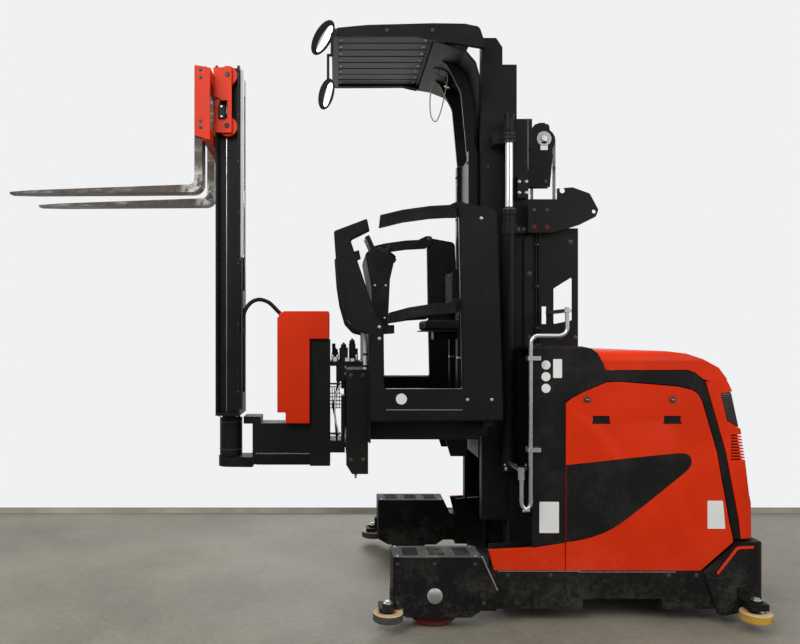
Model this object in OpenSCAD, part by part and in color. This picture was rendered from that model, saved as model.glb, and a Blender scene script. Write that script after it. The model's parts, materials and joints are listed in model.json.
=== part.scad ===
/* [Whole truck] */
// Place of the load wheel axle along the truck, forks pointing to minus X
axle_x = 362; // [300:1:420]
// Distance from the load wheel axle to the drive wheel axle
wheelbase = 1568; // [1540:1:1600]
// Half the width over the load arm covers
arm_half_w = 835; // [800:1:880]
// How far the load arms stand out past the body on each side
arm_overhang = 110; // [95:1:135]

/* [Lift heights as parked] */
// Height that the cab stands above its lowest place
cab_raise = 700; // [600:1:720]
// Underside of the cab's platform at its lowest place
cab_low_z = 343; // [330:1:380]

/* [Load arms] */
// Radius of a load wheel
load_wheel_r = 190; // [170:1:195]
// Width of a load wheel
load_wheel_w = 150; // [120:1:160]
// Width of one load arm cover
cover_w = 229; // [215:1:240]
// Wall thickness of the load arm covers
cover_wall = 6; // [4:1:8]
// Top of the load arm covers
cover_top_z = 411; // [405:1:440]
// Underside of the load arm covers
cover_low_z = 68; // [50:1:80]
// Length of the load arm covers along their top
cover_len = 500; // [480:1:520]
// Thickness of the plates that carry the load wheel axles
arm_plate = 20; // [12:1:24]
// Radius of the load wheel axle
axle_r = 25; // [18:1:35]

/* [Guide rollers] */
// Radius of a guide roller
guide_r = 85; // [70:1:88]
// Thickness of a guide roller
guide_t = 50; // [40:1:54]
// Underside of the guide rollers
guide_z = 62; // [50:1:68]
// Radius of a guide roller's pin
guide_pin_r = 14; // [10:1:18]
// Distance from the load wheel axle forward to the front guide rollers
guide_front = 268; // [255:1:280]
// Distance from the drive wheel axle back to the rear guide rollers
guide_rear = 243; // [230:1:250]

/* [Body] */
// Underside of the side skirts
skirt_z = 77; // [60:1:90]
// Top of the side skirts, where the doors begin
sill_z = 300; // [280:1:305]
// Thickness of the doors and side panels
panel_t = 25; // [18:1:30]
// Gap round each side door
door_gap = 5; // [4:1:8]
// Top of the red hood
hood_z = 1584; // [1575:1:1595]
// Top of the black front corner
cowl_z = 1608; // [1600:1:1620]
// Wall thickness of the hood and the rear cover
hood_wall = 8; // [5:1:10]
// Number of ventilation slots on each rear corner
slot_count = 9; // [6:1:11]
// Height of one ventilation slot
slot_h = 9; // [6:1:11]
// Radius of a latch knob on a side door
knob_r = 14; // [10:1:18]

/* [Drive] */
// Radius of the drive wheel
drive_wheel_r = 200; // [185:1:205]
// Width of the drive wheel
drive_wheel_w = 150; // [120:1:160]
// Radius of the steering bearing
bearing_r = 150; // [130:1:160]

/* [Battery] */
// Length of the battery block
battery_len = 590; // [500:1:600]
// Gap between the battery block and the body's side
battery_gap = 125; // [120:1:225]
// Height of the battery block
battery_h = 800; // [700:1:820]

/* [Main mast] */
// Distance from the load wheel axle back to the front of the inner mast
mast_back = 366; // [360:1:380]
// Depth of the inner mast's channels
inner_depth = 133; // [125:1:140]
// Half the width over the inner mast
inner_half_w = 337; // [330:1:338]
// Thickness of the mast channels' webs
web_t = 15; // [12:1:18]
// Thickness of the mast channels' flanges
flange_t = 18; // [14:1:20]
// Length of the inner mast
inner_len = 3070; // [3000:1:3100]
// Height of the inner mast's foot at its lowest
inner_low_z = 150; // [140:1:170]
// Depth of the outer mast's channels
outer_depth = 123; // [115:1:126]
// Half the width over the outer mast
outer_half_w = 395; // [393:1:398]
// Top of the outer mast
outer_top_z = 3036; // [3000:1:3060]
// Underside of the outer mast
outer_foot_z = 131; // [131:1:140]

/* [Lift cylinders] */
// Radius of a lift cylinder's barrel
barrel_r = 38; // [34:1:40]
// Wall of a lift cylinder's barrel
barrel_wall = 8; // [6:1:10]
// Radius of a lift rod
rod_r = 25; // [20:1:26]
// Distance of the cylinders from the middle
cylinder_y = 440; // [438:1:446]
// Underside of the barrels
barrel_z = 872; // [860:1:880]
// Length of the barrels
barrel_len = 1579; // [1560:1:1600]
// Height of a rod clamp as parked
rod_clamp_z = 2870; // [2860:1:2900]

/* [Mast support] */
// Length of the support frames behind the mast
support_len = 338; // [320:1:350]
// Top of the support frames
support_top_z = 2345; // [2330:1:2400]
// Thickness of the support frames
support_t = 15; // [10:1:20]

/* [Chain] */
// Radius of the chain pulley
pulley_r = 74; // [66:1:76]
// Height of the chain pulley's axle
pulley_z = 3005; // [2990:1:3015]
// Pitch of the leaf chain
chain_pitch = 25.4; // [22:0.1:28]
// Number of links in the front run of the chain
chain_front_links = 14; // [8:1:16]
// Number of links in the rear run of the chain
chain_rear_links = 17; // [10:1:20]

/* [Cab] */
// Distance from the inner mast forward to the front tips of the side frames
cab_reach = 941; // [930:1:960]
// Half the width over the side frames
cab_half_w = 760; // [750:1:775]
// Thickness of the side frames
side_t = 44; // [36:1:50]
// Depth of the platform
platform_h = 150; // [140:1:160]
// Gap between the under-frame and a load arm
under_gap = 36; // [16:1:86]
// Half the width of the rear tower
tower_half_w = 250; // [230:1:255]
// Depth of the rear tower
tower_depth = 62; // [50:1:66]
// Height of the rear tower above the platform's underside
tower_h = 1830; // [1800:1:1860]
// Thickness of sheet panels in the cab
sheet_t = 12; // [8:1:16]

/* [Overhead guard] */
// Half the width of the guard
guard_half_w = 460; // [440:1:480]
// Number of slats
slat_count = 8; // [6:1:9]
// Gap between two slats
slat_gap = 14; // [10:1:18]
// Thickness of a slat
slat_t = 28; // [20:1:34]
// Radius of the round hole in the guard's vault
vault_hole_r = 53; // [40:1:60]

/* [Gates] */
// Height of the upper gate bar's section
gate_bar_h = 72; // [60:1:80]
// Width of the gate bars
gate_bar_w = 30; // [24:1:34]
// Clearance round each gate hinge
gate_gap = 6; // [5:1:8]

/* [Traverse frame] */
// Half the width of the traverse frame over its end plates
traverse_half_w = 655; // [640:1:668]
// Thickness of the traverse frame's end plates
end_plate_t = 18; // [14:1:22]
// Depth of the traverse rails
rail_depth = 92; // [80:1:96]
// Height of the traverse rails
rail_h = 72; // [64:1:76]
// Pitch of the rack's teeth
rack_pitch = 22; // [18:1:30]

/* [Traverse head] */
// Distance from the head's upright forward to the swivel axis
swivel_reach = 544; // [535:1:560]
// Half the width of the head's arm
arm_w2 = 96; // [80:1:98]
// Top of the head's arm above its underside
head_arm_h = 276; // [260:1:290]
// Height of the head's upright
upright_h = 841; // [830:1:860]
// Radius of the swivel drum
drum_r = 76; // [70:1:80]
// Radius of the swivel pin
swivel_pin_r = 32; // [26:1:40]
// Half the width of the motor cover
motor_half_w = 150; // [130:1:160]

/* [Auxiliary mast] */
// Depth of the auxiliary mast
aux_depth = 160; // [156:1:166]
// Half the width over the auxiliary mast
aux_half_w = 165; // [160:1:168]
// Height of the auxiliary mast
aux_len = 2298; // [2250:1:2320]
// Thickness of the auxiliary mast's flanges
aux_flange = 16; // [12:1:18]
// Radius of the pipe behind the auxiliary mast
aux_pipe_r = 9; // [6:1:10]

/* [Forks] */
// Length of a fork from its shank's front face
fork_len = 1205; // [1000:1:1300]
// Width of a fork
fork_w = 120; // [100:1:130]
// Thickness of a fork at its heel
fork_t = 50; // [40:1:54]
// Thickness of a fork at its tip
fork_tip_t = 14; // [10:1:20]
// Distance between the two forks' middles
fork_spread = 458; // [440:1:480]
// Height of the forks' underside as parked
fork_z = 2598; // [2595:1:2620]
// Height of a fork's shank
shank_h = 812; // [800:1:830]
// Thickness of the red side plates of the carriage
carriage_plate = 15; // [12:1:18]

/* [Hidden] */
$fn = 48;
LEFT = -1;
RIGHT = 1;
seat_gap = 0.3;
gate_pin_r = 11;
gate_eye = 26;
lower_drop = 566;
lower_bar_h = gate_bar_h - 9;
run_gap = 0.15;
arc_steps = 5;
black = [0.13, 0.13, 0.14];
charcoal = [0.19, 0.19, 0.2];
red = [0.86, 0.2, 0.09];
steel = [0.72, 0.72, 0.74];
grey = [0.4, 0.4, 0.4];
cream = [0.84, 0.78, 0.52];

// widths that follow the load arms
body_half_w = arm_half_w - arm_overhang;
chassis_in = arm_half_w - cover_w;
wheel_y = arm_half_w - cover_w / 2;
guide_y = arm_half_w + 20;
battery_w = 2 * (body_half_w - battery_gap);
under_half_w = chassis_in - under_gap;

// places along the truck
drive_x = axle_x + wheelbase;
cover_x0 = axle_x - 238;
cover_x1 = cover_x0 + cover_len;
inner_x0 = axle_x + mast_back;
inner_x1 = inner_x0 + inner_depth;
outer_x0 = inner_x1 + 26;
outer_x1 = outer_x0 + outer_depth;
body_x0 = outer_x1 - 61;
bulkhead_x = outer_x1 + 40;
door_x0 = body_x0 + 192;
hood_x0 = body_x0 + 291;
rear_x = drive_x + 388;
cab_x1 = inner_x0 - 6;
cab_x0 = inner_x0 - cab_reach;
tower_x0 = cab_x1 - tower_depth;
vault_x0 = cab_x1 - 310;
roof_x1 = cab_x1 - 6;
pillar_x0 = cab_x1 - 212;
wall_x = cab_x0 + 204;
frame_x1 = wall_x - seat_gap;
rail_x1 = frame_x1 - 34;
rail_x0 = rail_x1 - rail_depth;
upright_x1 = rail_x0 - 104;
upright_x0 = upright_x1 - 134;
swivel_x = upright_x0 - swivel_reach;
aux_x0 = swivel_x - aux_depth / 2;
aux_x1 = swivel_x + aux_depth / 2;
shank_x = swivel_x - 195;
mast_x = (outer_x0 + outer_x1) / 2;

// heights of the raised parts
cab_z = cab_low_z + cab_raise;
floor_z = cab_z + platform_h;
sill_top_z = cab_z + 319;
tower_z = cab_z + tower_h;
inner_z = inner_low_z + cab_raise / 2;
inner_top_z = inner_z + inner_len;
roof_z = cab_z + 2539;
arm_z = cab_z - 234;
arm_top_z = arm_z + head_arm_h;
upright_z = arm_z + upright_h;
drum_z0 = arm_z + 53;
drum_z1 = arm_top_z + 30;
aux_z = drum_z1 + 47;
rail_low_z = cab_z - 143;
rail_high_z = cab_z + 355;
cylinder_x = outer_x0 - 9;
clamp_h = 60;
stroke_down = cab_raise / 2;
pulley_x = outer_x1 + 205;
chain_plate_r = chain_pitch * 0.36;
chain_run_r = pulley_r + 2;
chain_over = floor(90 / asin(chain_pitch / 2 / chain_run_r));
chain_groove_r = chain_run_r * cos(90 / chain_over) - chain_plate_r - seat_gap;

// unit vector of a plane vector
function unit(v) = v / norm(v);

// points of a closed outline moved inwards by an amount, the outline running anticlockwise
function inset(points, amount) =
    [for (i = [0:len(points) - 1])
        let (p = points[i])
        let (a = unit(p - points[(i + len(points) - 1) % len(points)]))
        let (b = unit(points[(i + 1) % len(points)] - p))
        let (na = [-a[1], a[0]])
        let (nb = [-b[1], b[0]])
        p + amount * (na + nb) / (1 + na * nb)];

// corners given as [x, z, radius] of a closed outline, moved inwards by an amount
function inset_corners(corners, amount) =
    let (moved = inset([for (c = corners) [c[0], c[1]]], amount))
    [for (i = [0:len(corners) - 1]) [moved[i][0], moved[i][1], corners[i][2]]];

// outline through corners given as [x, z, radius], with each corner rounded by a short arc
function rounded(corners) =
    [for (i = [0:len(corners) - 1])
        let (c = corners[i])
        let (p = [c[0], c[1]])
        let (before = corners[(i + len(corners) - 1) % len(corners)])
        let (after = corners[(i + 1) % len(corners)])
        let (a = unit([before[0], before[1]] - p))
        let (b = unit([after[0], after[1]] - p))
        let (half = acos(a * b) / 2)
        let (reach = c[2] / tan(half))
        for (s = [0:(c[2] > 0 ? arc_steps : 0)])
            let (t = c[2] > 0 ? s / arc_steps : 0)
            c[2] > 0
                ? p + unit(a + b) * c[2] / sin(half)
                    - c[2] * unit((1 - t) * unit(unit(a + b) / sin(half) - a / tan(half))
                        + t * unit(unit(a + b) / sin(half) - b / tan(half)))
                : p];

// both sides of the truck
module both_sides() {
    children();
    mirror([0, 1, 0]) children();
}

// block between two corners
module block(low, high) {
    translate(low) cube(high - low);
}

// plate whose outline lies in X and Z, from y to y + thickness
module side_plate(points, y, thickness) {
    translate([0, y + thickness, 0]) rotate([90, 0, 0]) linear_extrude(thickness) polygon(points);
}

// plate whose outline lies in X and Y, from z to z + thickness
module flat_plate(points, z, thickness) {
    translate([0, 0, z]) linear_extrude(thickness) polygon(points);
}

// round bar along Y from y0 to y1
module cross_bar(x, z, y0, y1, r) {
    translate([x, y0, z]) rotate([-90, 0, 0]) cylinder(h = y1 - y0, r = r);
}

// ring along Z
module ring(h, r_out, r_in) {
    difference() {
        cylinder(h = h, r = r_out);
        translate([0, 0, -1]) cylinder(h = h + 2, r = r_in);
    }
}

// base frame: side skirts, battery floor, drive bridge and mast foot
module base_frame() {
    recess_x0 = door_x0 + 99;
    recess_x1 = recess_x0 + 461;
    front_x = cover_x0 + 590;
    color(charcoal) union() {
        both_sides() difference() {
            block([front_x, chassis_in - 6, skirt_z], [rear_x - 178, body_half_w, sill_z]);
            block([recess_x0, chassis_in - 10, skirt_z - 1], [recess_x1, body_half_w + 1, skirt_z + 59]);
        }
        block([outer_x0 - 87, -chassis_in, skirt_z], [bulkhead_x + 15, chassis_in, outer_foot_z - 1]);
        block([bulkhead_x + 15, -chassis_in, skirt_z + 43], [drive_x - 235, chassis_in, skirt_z + 83]);
        difference() {
            block([drive_x - 235, -chassis_in, sill_z + 130], [rear_x - 178, chassis_in, sill_z + 170]);
            translate([drive_x, 0, sill_z + 100]) cylinder(h = 100, r = bearing_r + run_gap);
        }
        block([drive_x - 255, -chassis_in, skirt_z + 43], [drive_x - 235, chassis_in, sill_z + 170]);
        both_sides() side_plate([[front_x + 1, sill_z - 1], [bulkhead_x + 2, sill_z - 1], [bulkhead_x + 2, sill_z + 150],
            [front_x + 1, sill_z + 122]], chassis_in - 6, 12);
        block([rear_x - 178, -body_half_w + 40, skirt_z + 20], [rear_x - 118, body_half_w - 40, sill_z + 170]);
        both_sides() block([drive_x - 255, chassis_in - 16, sill_z - 1], [rear_x - 178, chassis_in + 44, sill_z + 170]);
    }
}

// bulkhead between mast and battery, with the beam that the mast support stands on
module bulkhead() {
    color(charcoal) union() {
        block([bulkhead_x + 3, -chassis_in + 7, outer_foot_z - 1 + seat_gap], [bulkhead_x + 15, chassis_in - 7, sill_z + 1]);
        block([bulkhead_x + 3, -body_half_w + panel_t + seat_gap, sill_z + seat_gap],
            [bulkhead_x + 15, body_half_w - panel_t - seat_gap, hood_z - 44 - seat_gap]);
        block([bulkhead_x + 15, -outer_half_w - 60, hood_z - 104],
            [bulkhead_x + support_len + 15, outer_half_w + 60, hood_z - 44 - seat_gap]);
    }
}

// load arms: two plates on each side of the wheel, closed behind it and over it
module load_arms() {
    x0 = cover_x0 + cover_wall + 2;
    x1 = cover_x0 + 590;
    z0 = cover_low_z + 36;
    z1 = cover_top_z - 78;
    y_in = chassis_in + cover_wall;
    y_out = arm_half_w - cover_wall;
    outline = [[x0, z0 + 50], [x0 + 70, z0], [x1, z0], [x1, z0 + 190], [x1 - 100, z1], [x0, z1]];
    color(charcoal) both_sides() difference() {
        union() {
            for (y = [y_in, y_out - arm_plate]) side_plate(outline, y, arm_plate);
            block([axle_x + load_wheel_r + 30, y_in + 1, z0], [x1, y_out - 1, z0 + 190]);
            block([x0, y_in + 1, z1 - 90], [x0 + 12, y_out - 1, z1]);
        }
        cross_bar(axle_x, load_wheel_r, chassis_in, arm_half_w, axle_r + run_gap);
    }
}

// covers over the load arms, open below, with a tapered tail
module arm_covers() {
    outline = [[cover_x0, cover_low_z + 44], [cover_x0 + 79, cover_low_z], [cover_x0 + 443, cover_low_z],
        [cover_x0 + 494, cover_low_z + 34], [cover_x0 + 590, cover_low_z + 152], [cover_x1 + 5, cover_top_z],
        [cover_x0, cover_top_z]];
    hollow = inset(outline, cover_wall);
    axle_hole_r = 45;
    color(black) both_sides() difference() {
        side_plate(outline, chassis_in, cover_w);
        side_plate(hollow, chassis_in + cover_wall, cover_w - 2 * cover_wall);
        block([cover_x0 + 14, chassis_in + cover_wall, cover_low_z - 1],
            [cover_x0 + 560, arm_half_w - cover_wall, cover_low_z + 60]);
        block([cover_x0 + 468, chassis_in + cover_wall, cover_low_z + 34],
            [cover_x1 + 100, arm_half_w - cover_wall, cover_top_z - 88]);
        cross_bar(axle_x, load_wheel_r, arm_half_w - cover_wall - 1, arm_half_w + 1, axle_hole_r + 1);
        translate([axle_x - guide_front, guide_y, cover_low_z - 10])
            cylinder(h = guide_z + guide_t + 16 - cover_low_z, r = guide_r + 6);
        for (i = [0:2]) block([cover_x0 + 60 + 150 * i, chassis_in + 40, cover_top_z - 2],
            [cover_x0 + 150 + 150 * i, arm_half_w - 40, cover_top_z + 1]);
    }
}

// load wheel axles with their end caps
module load_axles() {
    y_in = chassis_in + cover_wall;
    y_out = arm_half_w - cover_wall;
    color(steel) both_sides() union() {
        cross_bar(axle_x, load_wheel_r, y_in, arm_half_w - 2, axle_r);
        cross_bar(axle_x, load_wheel_r, y_out + seat_gap, arm_half_w - 2, 45);
    }
}

// one load wheel with its tyre
module load_wheel(side) {
    y = side * wheel_y;
    hub_r = 70;
    color(red) difference() {
        union() {
            translate([axle_x, y, load_wheel_r]) rotate([90, 0, 0]) rotate_extrude($fn = 72)
                polygon([[hub_r, -load_wheel_w / 2 + 8], [load_wheel_r - 34, -load_wheel_w / 2 + 8],
                    [load_wheel_r - 30, -load_wheel_w / 2], [load_wheel_r - 6, -load_wheel_w / 2],
                    [load_wheel_r, -load_wheel_w / 2 + 8], [load_wheel_r, load_wheel_w / 2 - 8],
                    [load_wheel_r - 6, load_wheel_w / 2], [load_wheel_r - 30, load_wheel_w / 2],
                    [load_wheel_r - 34, load_wheel_w / 2 - 8], [hub_r, load_wheel_w / 2 - 8]]);
            cross_bar(axle_x, load_wheel_r, y - load_wheel_w / 2, y + load_wheel_w / 2, hub_r);
        }
        cross_bar(axle_x, load_wheel_r, y - load_wheel_w, y + load_wheel_w, axle_r + run_gap);
    }
}

// brackets and pins of the four guide rollers
module guide_brackets() {
    rows = [[axle_x - guide_front, cover_x0 - seat_gap], [drive_x + guide_rear, 0]];
    bracket_z = guide_z + guide_t + 8;
    color(charcoal) both_sides() {
        union() {
            block([rows[0][0] - 52, guide_y - 75, bracket_z], [rows[0][1], guide_y + 40, bracket_z + 24]);
            block([rows[0][1] - 16, guide_y - 75, bracket_z], [rows[0][1], guide_y - 22, bracket_z + 110]);
            translate([rows[0][0], guide_y, guide_z]) cylinder(h = guide_t + 60, r = guide_pin_r);
            translate([rows[0][0], guide_y, bracket_z + 24]) cylinder(h = 14, r = 32);
        }
        union() {
            block([rows[1][0] - 52, body_half_w + 35 + seat_gap, bracket_z + 6], [rows[1][0] + 52, guide_y + 40, bracket_z + 44]);
            block([rows[1][0] - 52, body_half_w + 35 + seat_gap, bracket_z + 6], [rows[1][0] + 52, body_half_w + 55, bracket_z + 96]);
            translate([rows[1][0], guide_y, guide_z]) cylinder(h = guide_t + 60, r = guide_pin_r);
            translate([rows[1][0], guide_y, bracket_z + 44]) cylinder(h = 12, r = 32);
        }
    }
}

// one guide roller
module guide_roller(x, side) {
    color(cream) translate([x, side * guide_y, guide_z]) rotate_extrude($fn = 72)
        polygon([[guide_pin_r + run_gap, 4], [guide_r * 0.5, 4], [guide_r * 0.58, 0], [guide_r - 5, 0], [guide_r, 5],
            [guide_r, guide_t - 5], [guide_r - 5, guide_t], [guide_r * 0.58, guide_t], [guide_r * 0.5, guide_t - 4],
            [guide_pin_r + run_gap, guide_t - 4]]);
}

// rear corner bumpers, wrapped round the corners
module rear_bumpers() {
    x0 = rear_x - 378;
    side = rounded([[x0, sill_z - 3, 0], [x0 + 82, skirt_z - 32, 8], [rear_x - 40, skirt_z + 20, 20], [rear_x, skirt_z + 70, 20],
        [rear_x - 6, sill_z + 145, 30], [rear_x - 60, sill_z + 180, 14],
        [x0 + 190, sill_z + 167, 10]]);
    plan = rounded([[x0 - 10, -body_half_w - 2, 0], [x0 + 120, -body_half_w - 35, 0], [rear_x - 60, -body_half_w - 35, 70], [rear_x, -body_half_w + 60, 90],
        [rear_x, -330, 0], [rear_x - 118 + seat_gap, -330, 0], [rear_x - 118 + seat_gap, -body_half_w - seat_gap, 0],
        [x0 - 10, -body_half_w - seat_gap, 0]]);
    color(black) both_sides() intersection() {
        side_plate(side, -body_half_w - 60, body_half_w);
        flat_plate(plan, 0, 700);
    }
}

// red strips low on the sides, between the load arms and the doors
module sill_fairings() {
    color(red) both_sides() side_plate([[cover_x0 + 597, sill_z + seat_gap], [door_x0 - door_gap, sill_z + seat_gap],
        [door_x0 - door_gap, sill_z + 162], [body_x0 + 6, sill_z + 133], [cover_x0 + 566, sill_z + 120]],
        body_half_w - panel_t, panel_t);
}

// outline of the body's rear, from the top down to the bumper
function rear_line() = [[drive_x - 188, hood_z - 4], [drive_x - 80, hood_z - 18], [drive_x + 10, hood_z - 50], [drive_x + 102, hood_z - 100],
    [drive_x + 150, hood_z - 165], [drive_x + 179, hood_z - 234], [drive_x + 229, hood_z - 458], [drive_x + 258, hood_z - 644],
    [drive_x + 290, hood_z - 848], [drive_x + 310, hood_z - 900], [drive_x + 316, sill_z + 186]];

// lower edge of the black band, from the door's front top corner back and down
function band_line() = [[door_x0 + 39, hood_z - 271], [door_x0 + 111, hood_z - 234], [door_x0 + 237, hood_z - 181],
    [door_x0 + 321, hood_z - 178], [drive_x - 124, hood_z - 207], [drive_x - 48, hood_z - 227], [drive_x - 14, hood_z - 250],
    [drive_x + 8, hood_z - 290], [drive_x + 95, hood_z - 586], [drive_x + 166, hood_z - 988], [drive_x + 190, sill_z + 184]];

// black side trim: front corner, band under the hood and stripe down the rear corner
module side_trim() {
    top = [[drive_x + 226, sill_z + 184], [drive_x + 214, hood_z - 988], [drive_x + 138, hood_z - 586], [drive_x + 39, hood_z - 242],
        [drive_x + 8, hood_z - 170], [drive_x - 40, hood_z - 130], [drive_x - 80, hood_z - 118], [hood_x0 + 134, hood_z - 114],
        [hood_x0 + 118, hood_z - 70], [hood_x0 + 86, hood_z - 14], [hood_x0 + 50, hood_z + 12], [hood_x0, cowl_z],
        [body_x0, cowl_z], [body_x0, sill_z + 135 + seat_gap], [door_x0 - door_gap, sill_z + 164],
        [door_x0 - door_gap, hood_z - 305]];
    color(black) both_sides() difference() {
        union() {
            side_plate(concat(top, band_line()), body_half_w - panel_t, panel_t);
            block([body_x0, outer_half_w + support_t + 3, cowl_z - 22], [hood_x0 - 3, body_half_w - panel_t + 1, cowl_z]);
        }
        translate([0, body_half_w, cowl_z]) rotate([45, 0, 0]) cube([6000, 16, 16], center = true);
    }
}

// outline of a side door
function door_outline() = inset(concat([[door_x0 - door_gap, sill_z + seat_gap - door_gap]],
    [[drive_x - 2, sill_z + seat_gap - door_gap], [drive_x + 190, sill_z + 163], [drive_x + 190, sill_z + 184]],
    [for (i = [9:-1:0]) band_line()[i]], [[door_x0 - door_gap, hood_z - 305]]), door_gap);

// one side door with its two recessed handles and two latch knobs
module door(side) {
    handles = [door_x0 + 157, door_x0 + 572];
    knobs = [door_x0 + 123, door_x0 + 622];
    color(red) mirror([0, side == RIGHT ? 1 : 0, 0]) union() {
        difference() {
            side_plate(door_outline(), -body_half_w, panel_t);
            for (x = handles) block([x, -body_half_w - 1, hood_z - 423], [x + 99, -body_half_w + 12, hood_z - 382]);
        }
        for (x = knobs) cross_bar(x, hood_z - 285, -body_half_w - 5, -body_half_w + 1, knob_r);
    }
}

// hood over the battery, hollow, with rounded shoulders
module hood() {
    side = concat([[hood_x0, hood_z - 113], [hood_x0, hood_z]], [for (i = [0:4]) rear_line()[i]], [[drive_x + 150, hood_z - 180],
        [drive_x + 60, hood_z - 180], [drive_x + 12, hood_z - 168], [drive_x - 36, hood_z - 128], [drive_x - 80, hood_z - 113]]);
    section = rounded([[-body_half_w, hood_z - 300, 0], [body_half_w, hood_z - 300, 0], [body_half_w, hood_z, 60], [-body_half_w, hood_z, 60]]);
    color(red) difference() {
        intersection() {
            side_plate(side, -body_half_w, 2 * body_half_w);
            translate([hood_x0, 0, 0]) rotate([90, 0, 90]) linear_extrude(1200) polygon(section);
            difference() {
                block([hood_x0, -body_half_w, hood_z - 400], [drive_x + 400, body_half_w, hood_z + 1]);
                side_plate([[hood_x0 - 1, hood_z - 114], [hood_x0 + 134, hood_z - 114], [hood_x0 + 118, hood_z - 70],
                    [hood_x0 + 86, hood_z - 14], [hood_x0 + 50, hood_z + 12], [hood_x0 - 1, hood_z + 12]], body_half_w - panel_t, panel_t + 1);
                side_plate([[hood_x0 - 1, hood_z - 114], [hood_x0 + 134, hood_z - 114], [hood_x0 + 118, hood_z - 70],
                    [hood_x0 + 86, hood_z - 14], [hood_x0 + 50, hood_z + 12], [hood_x0 - 1, hood_z + 12]], -body_half_w - 1, panel_t + 1);
            }
        }
        block([hood_x0 + hood_wall, -body_half_w + panel_t, hood_z - 190], [drive_x - 120, body_half_w - panel_t, hood_z - hood_wall - 4]);
        block([drive_x - 121, -body_half_w + panel_t, hood_z - 190], [drive_x - 10, body_half_w - panel_t, hood_z - 62]);
        block([hood_x0 - 1, -outer_half_w - support_t - 2, hood_z - 120],
            [bulkhead_x + support_len + 20, outer_half_w + support_t + 2, hood_z + 1]);
        block([hood_x0 - 1, -outer_half_w - 62, hood_z - 120], [hood_x0 + hood_wall + 1, outer_half_w + 62, hood_z - 42]);
    }
}

// rear cover with the ventilation slots in its corners and the seats of the lamps
module rear_cover() {
    low = sill_z + 186;
    slot_pitch = 157 / slot_count;
    outer = concat([[drive_x + 232, low], [drive_x + 220, hood_z - 988], [drive_x + 144, hood_z - 586], [drive_x + 45, hood_z - 242],
        [drive_x + 30, hood_z - 180 - seat_gap]], [[drive_x + 154, hood_z - 180 - seat_gap]], [for (i = [5:10]) rear_line()[i]]);
    plan = rounded([[drive_x - 20, -body_half_w, 0], [rear_x - 40, -body_half_w, 120], [rear_x - 40, body_half_w, 120],
        [drive_x - 20, body_half_w, 0]]);
    color(red) difference() {
        intersection() {
            side_plate(outer, -body_half_w, 2 * body_half_w);
            flat_plate(plan, 0, 2000);
        }
        translate([-26, 0, -16]) side_plate([for (p = outer) p], -body_half_w + panel_t, 2 * (body_half_w - panel_t));
        for (i = [0:slot_count - 1]) both_sides()
            block([drive_x + 172, body_half_w - 44, hood_z - 490 - slot_pitch * i - slot_h],
                [drive_x + 400, body_half_w + 1, hood_z - 490 - slot_pitch * i]);
        both_sides() side_plate([[drive_x + 112, hood_z - 252], [drive_x + 180, hood_z - 238], [drive_x + 400, hood_z - 225],
            [drive_x + 400, hood_z - 480], [drive_x + 225, hood_z - 455], [drive_x + 151, hood_z - 409]], body_half_w - 36, 60);
    }
}

// dark lamp glasses let into the rear corners
module rear_lamps() {
    lamp = [[drive_x + 116, hood_z - 258], [drive_x + 178, hood_z - 244], [drive_x + 222, hood_z - 448], [drive_x + 157, hood_z - 407]];
    color(black) both_sides() side_plate(lamp, body_half_w - 34, 28);
}

// battery
module battery() {
    color(grey) block([bulkhead_x + 25, -battery_w / 2, skirt_z + 83 + seat_gap],
        [bulkhead_x + 25 + battery_len, battery_w / 2, skirt_z + 83 + battery_h]);
}

// steered drive unit: motor, bearing, fork and axle
module drive_unit() {
    top_z = sill_z + 170;
    color(grey) difference() {
        union() {
            translate([drive_x, 0, top_z - 42]) cylinder(h = 43, r = bearing_r);
            translate([drive_x, 0, top_z + seat_gap]) cylinder(h = 20, r = bearing_r + 20);
            translate([drive_x, 0, top_z + 19]) cylinder(h = 330, r = 105);
            translate([drive_x, 0, drive_wheel_r * 2 + 12]) cylinder(h = top_z - drive_wheel_r * 2 - 50, r = bearing_r - 12);
            for (side = [LEFT, RIGHT]) hull() {
                translate([drive_x, side * (drive_wheel_w / 2 + 18), drive_wheel_r]) rotate([90, 0, 0]) cylinder(h = 20, r = 60, center = true, $fn = 32);
                translate([drive_x, side * (drive_wheel_w / 2 + 18), drive_wheel_r * 2 + 20]) cube([180, 20, 16], center = true);
            }
            cross_bar(drive_x, drive_wheel_r, -drive_wheel_w / 2 - 20, drive_wheel_w / 2 + 20, axle_r);
        }
    }
}

// drive wheel with its tyre
module drive_wheel() {
    half = drive_wheel_w / 2;
    color(black) translate([drive_x, 0, drive_wheel_r]) rotate([90, 0, 0]) rotate_extrude($fn = 72)
        polygon([[axle_r + run_gap, -half], [70, -half], [80, -half + 24], [130, -half + 24], [138, -half], [drive_wheel_r - 8, -half],
            [drive_wheel_r, -half + 10], [drive_wheel_r, half - 10], [drive_wheel_r - 8, half], [138, half],
            [130, half - 24], [80, half - 24], [70, half], [axle_r + run_gap, half]]);
}

// one mast channel, open towards the middle, on the right side
module mast_channel(x0, x1, y_in, y_out, z0, z1) {
    block([x0, y_out - web_t, z0], [x1, y_out, z1]);
    block([x0, y_in, z0], [x0 + flange_t, y_out, z1]);
    block([x1 - flange_t, y_in, z0], [x1, y_out, z1]);
}

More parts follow.
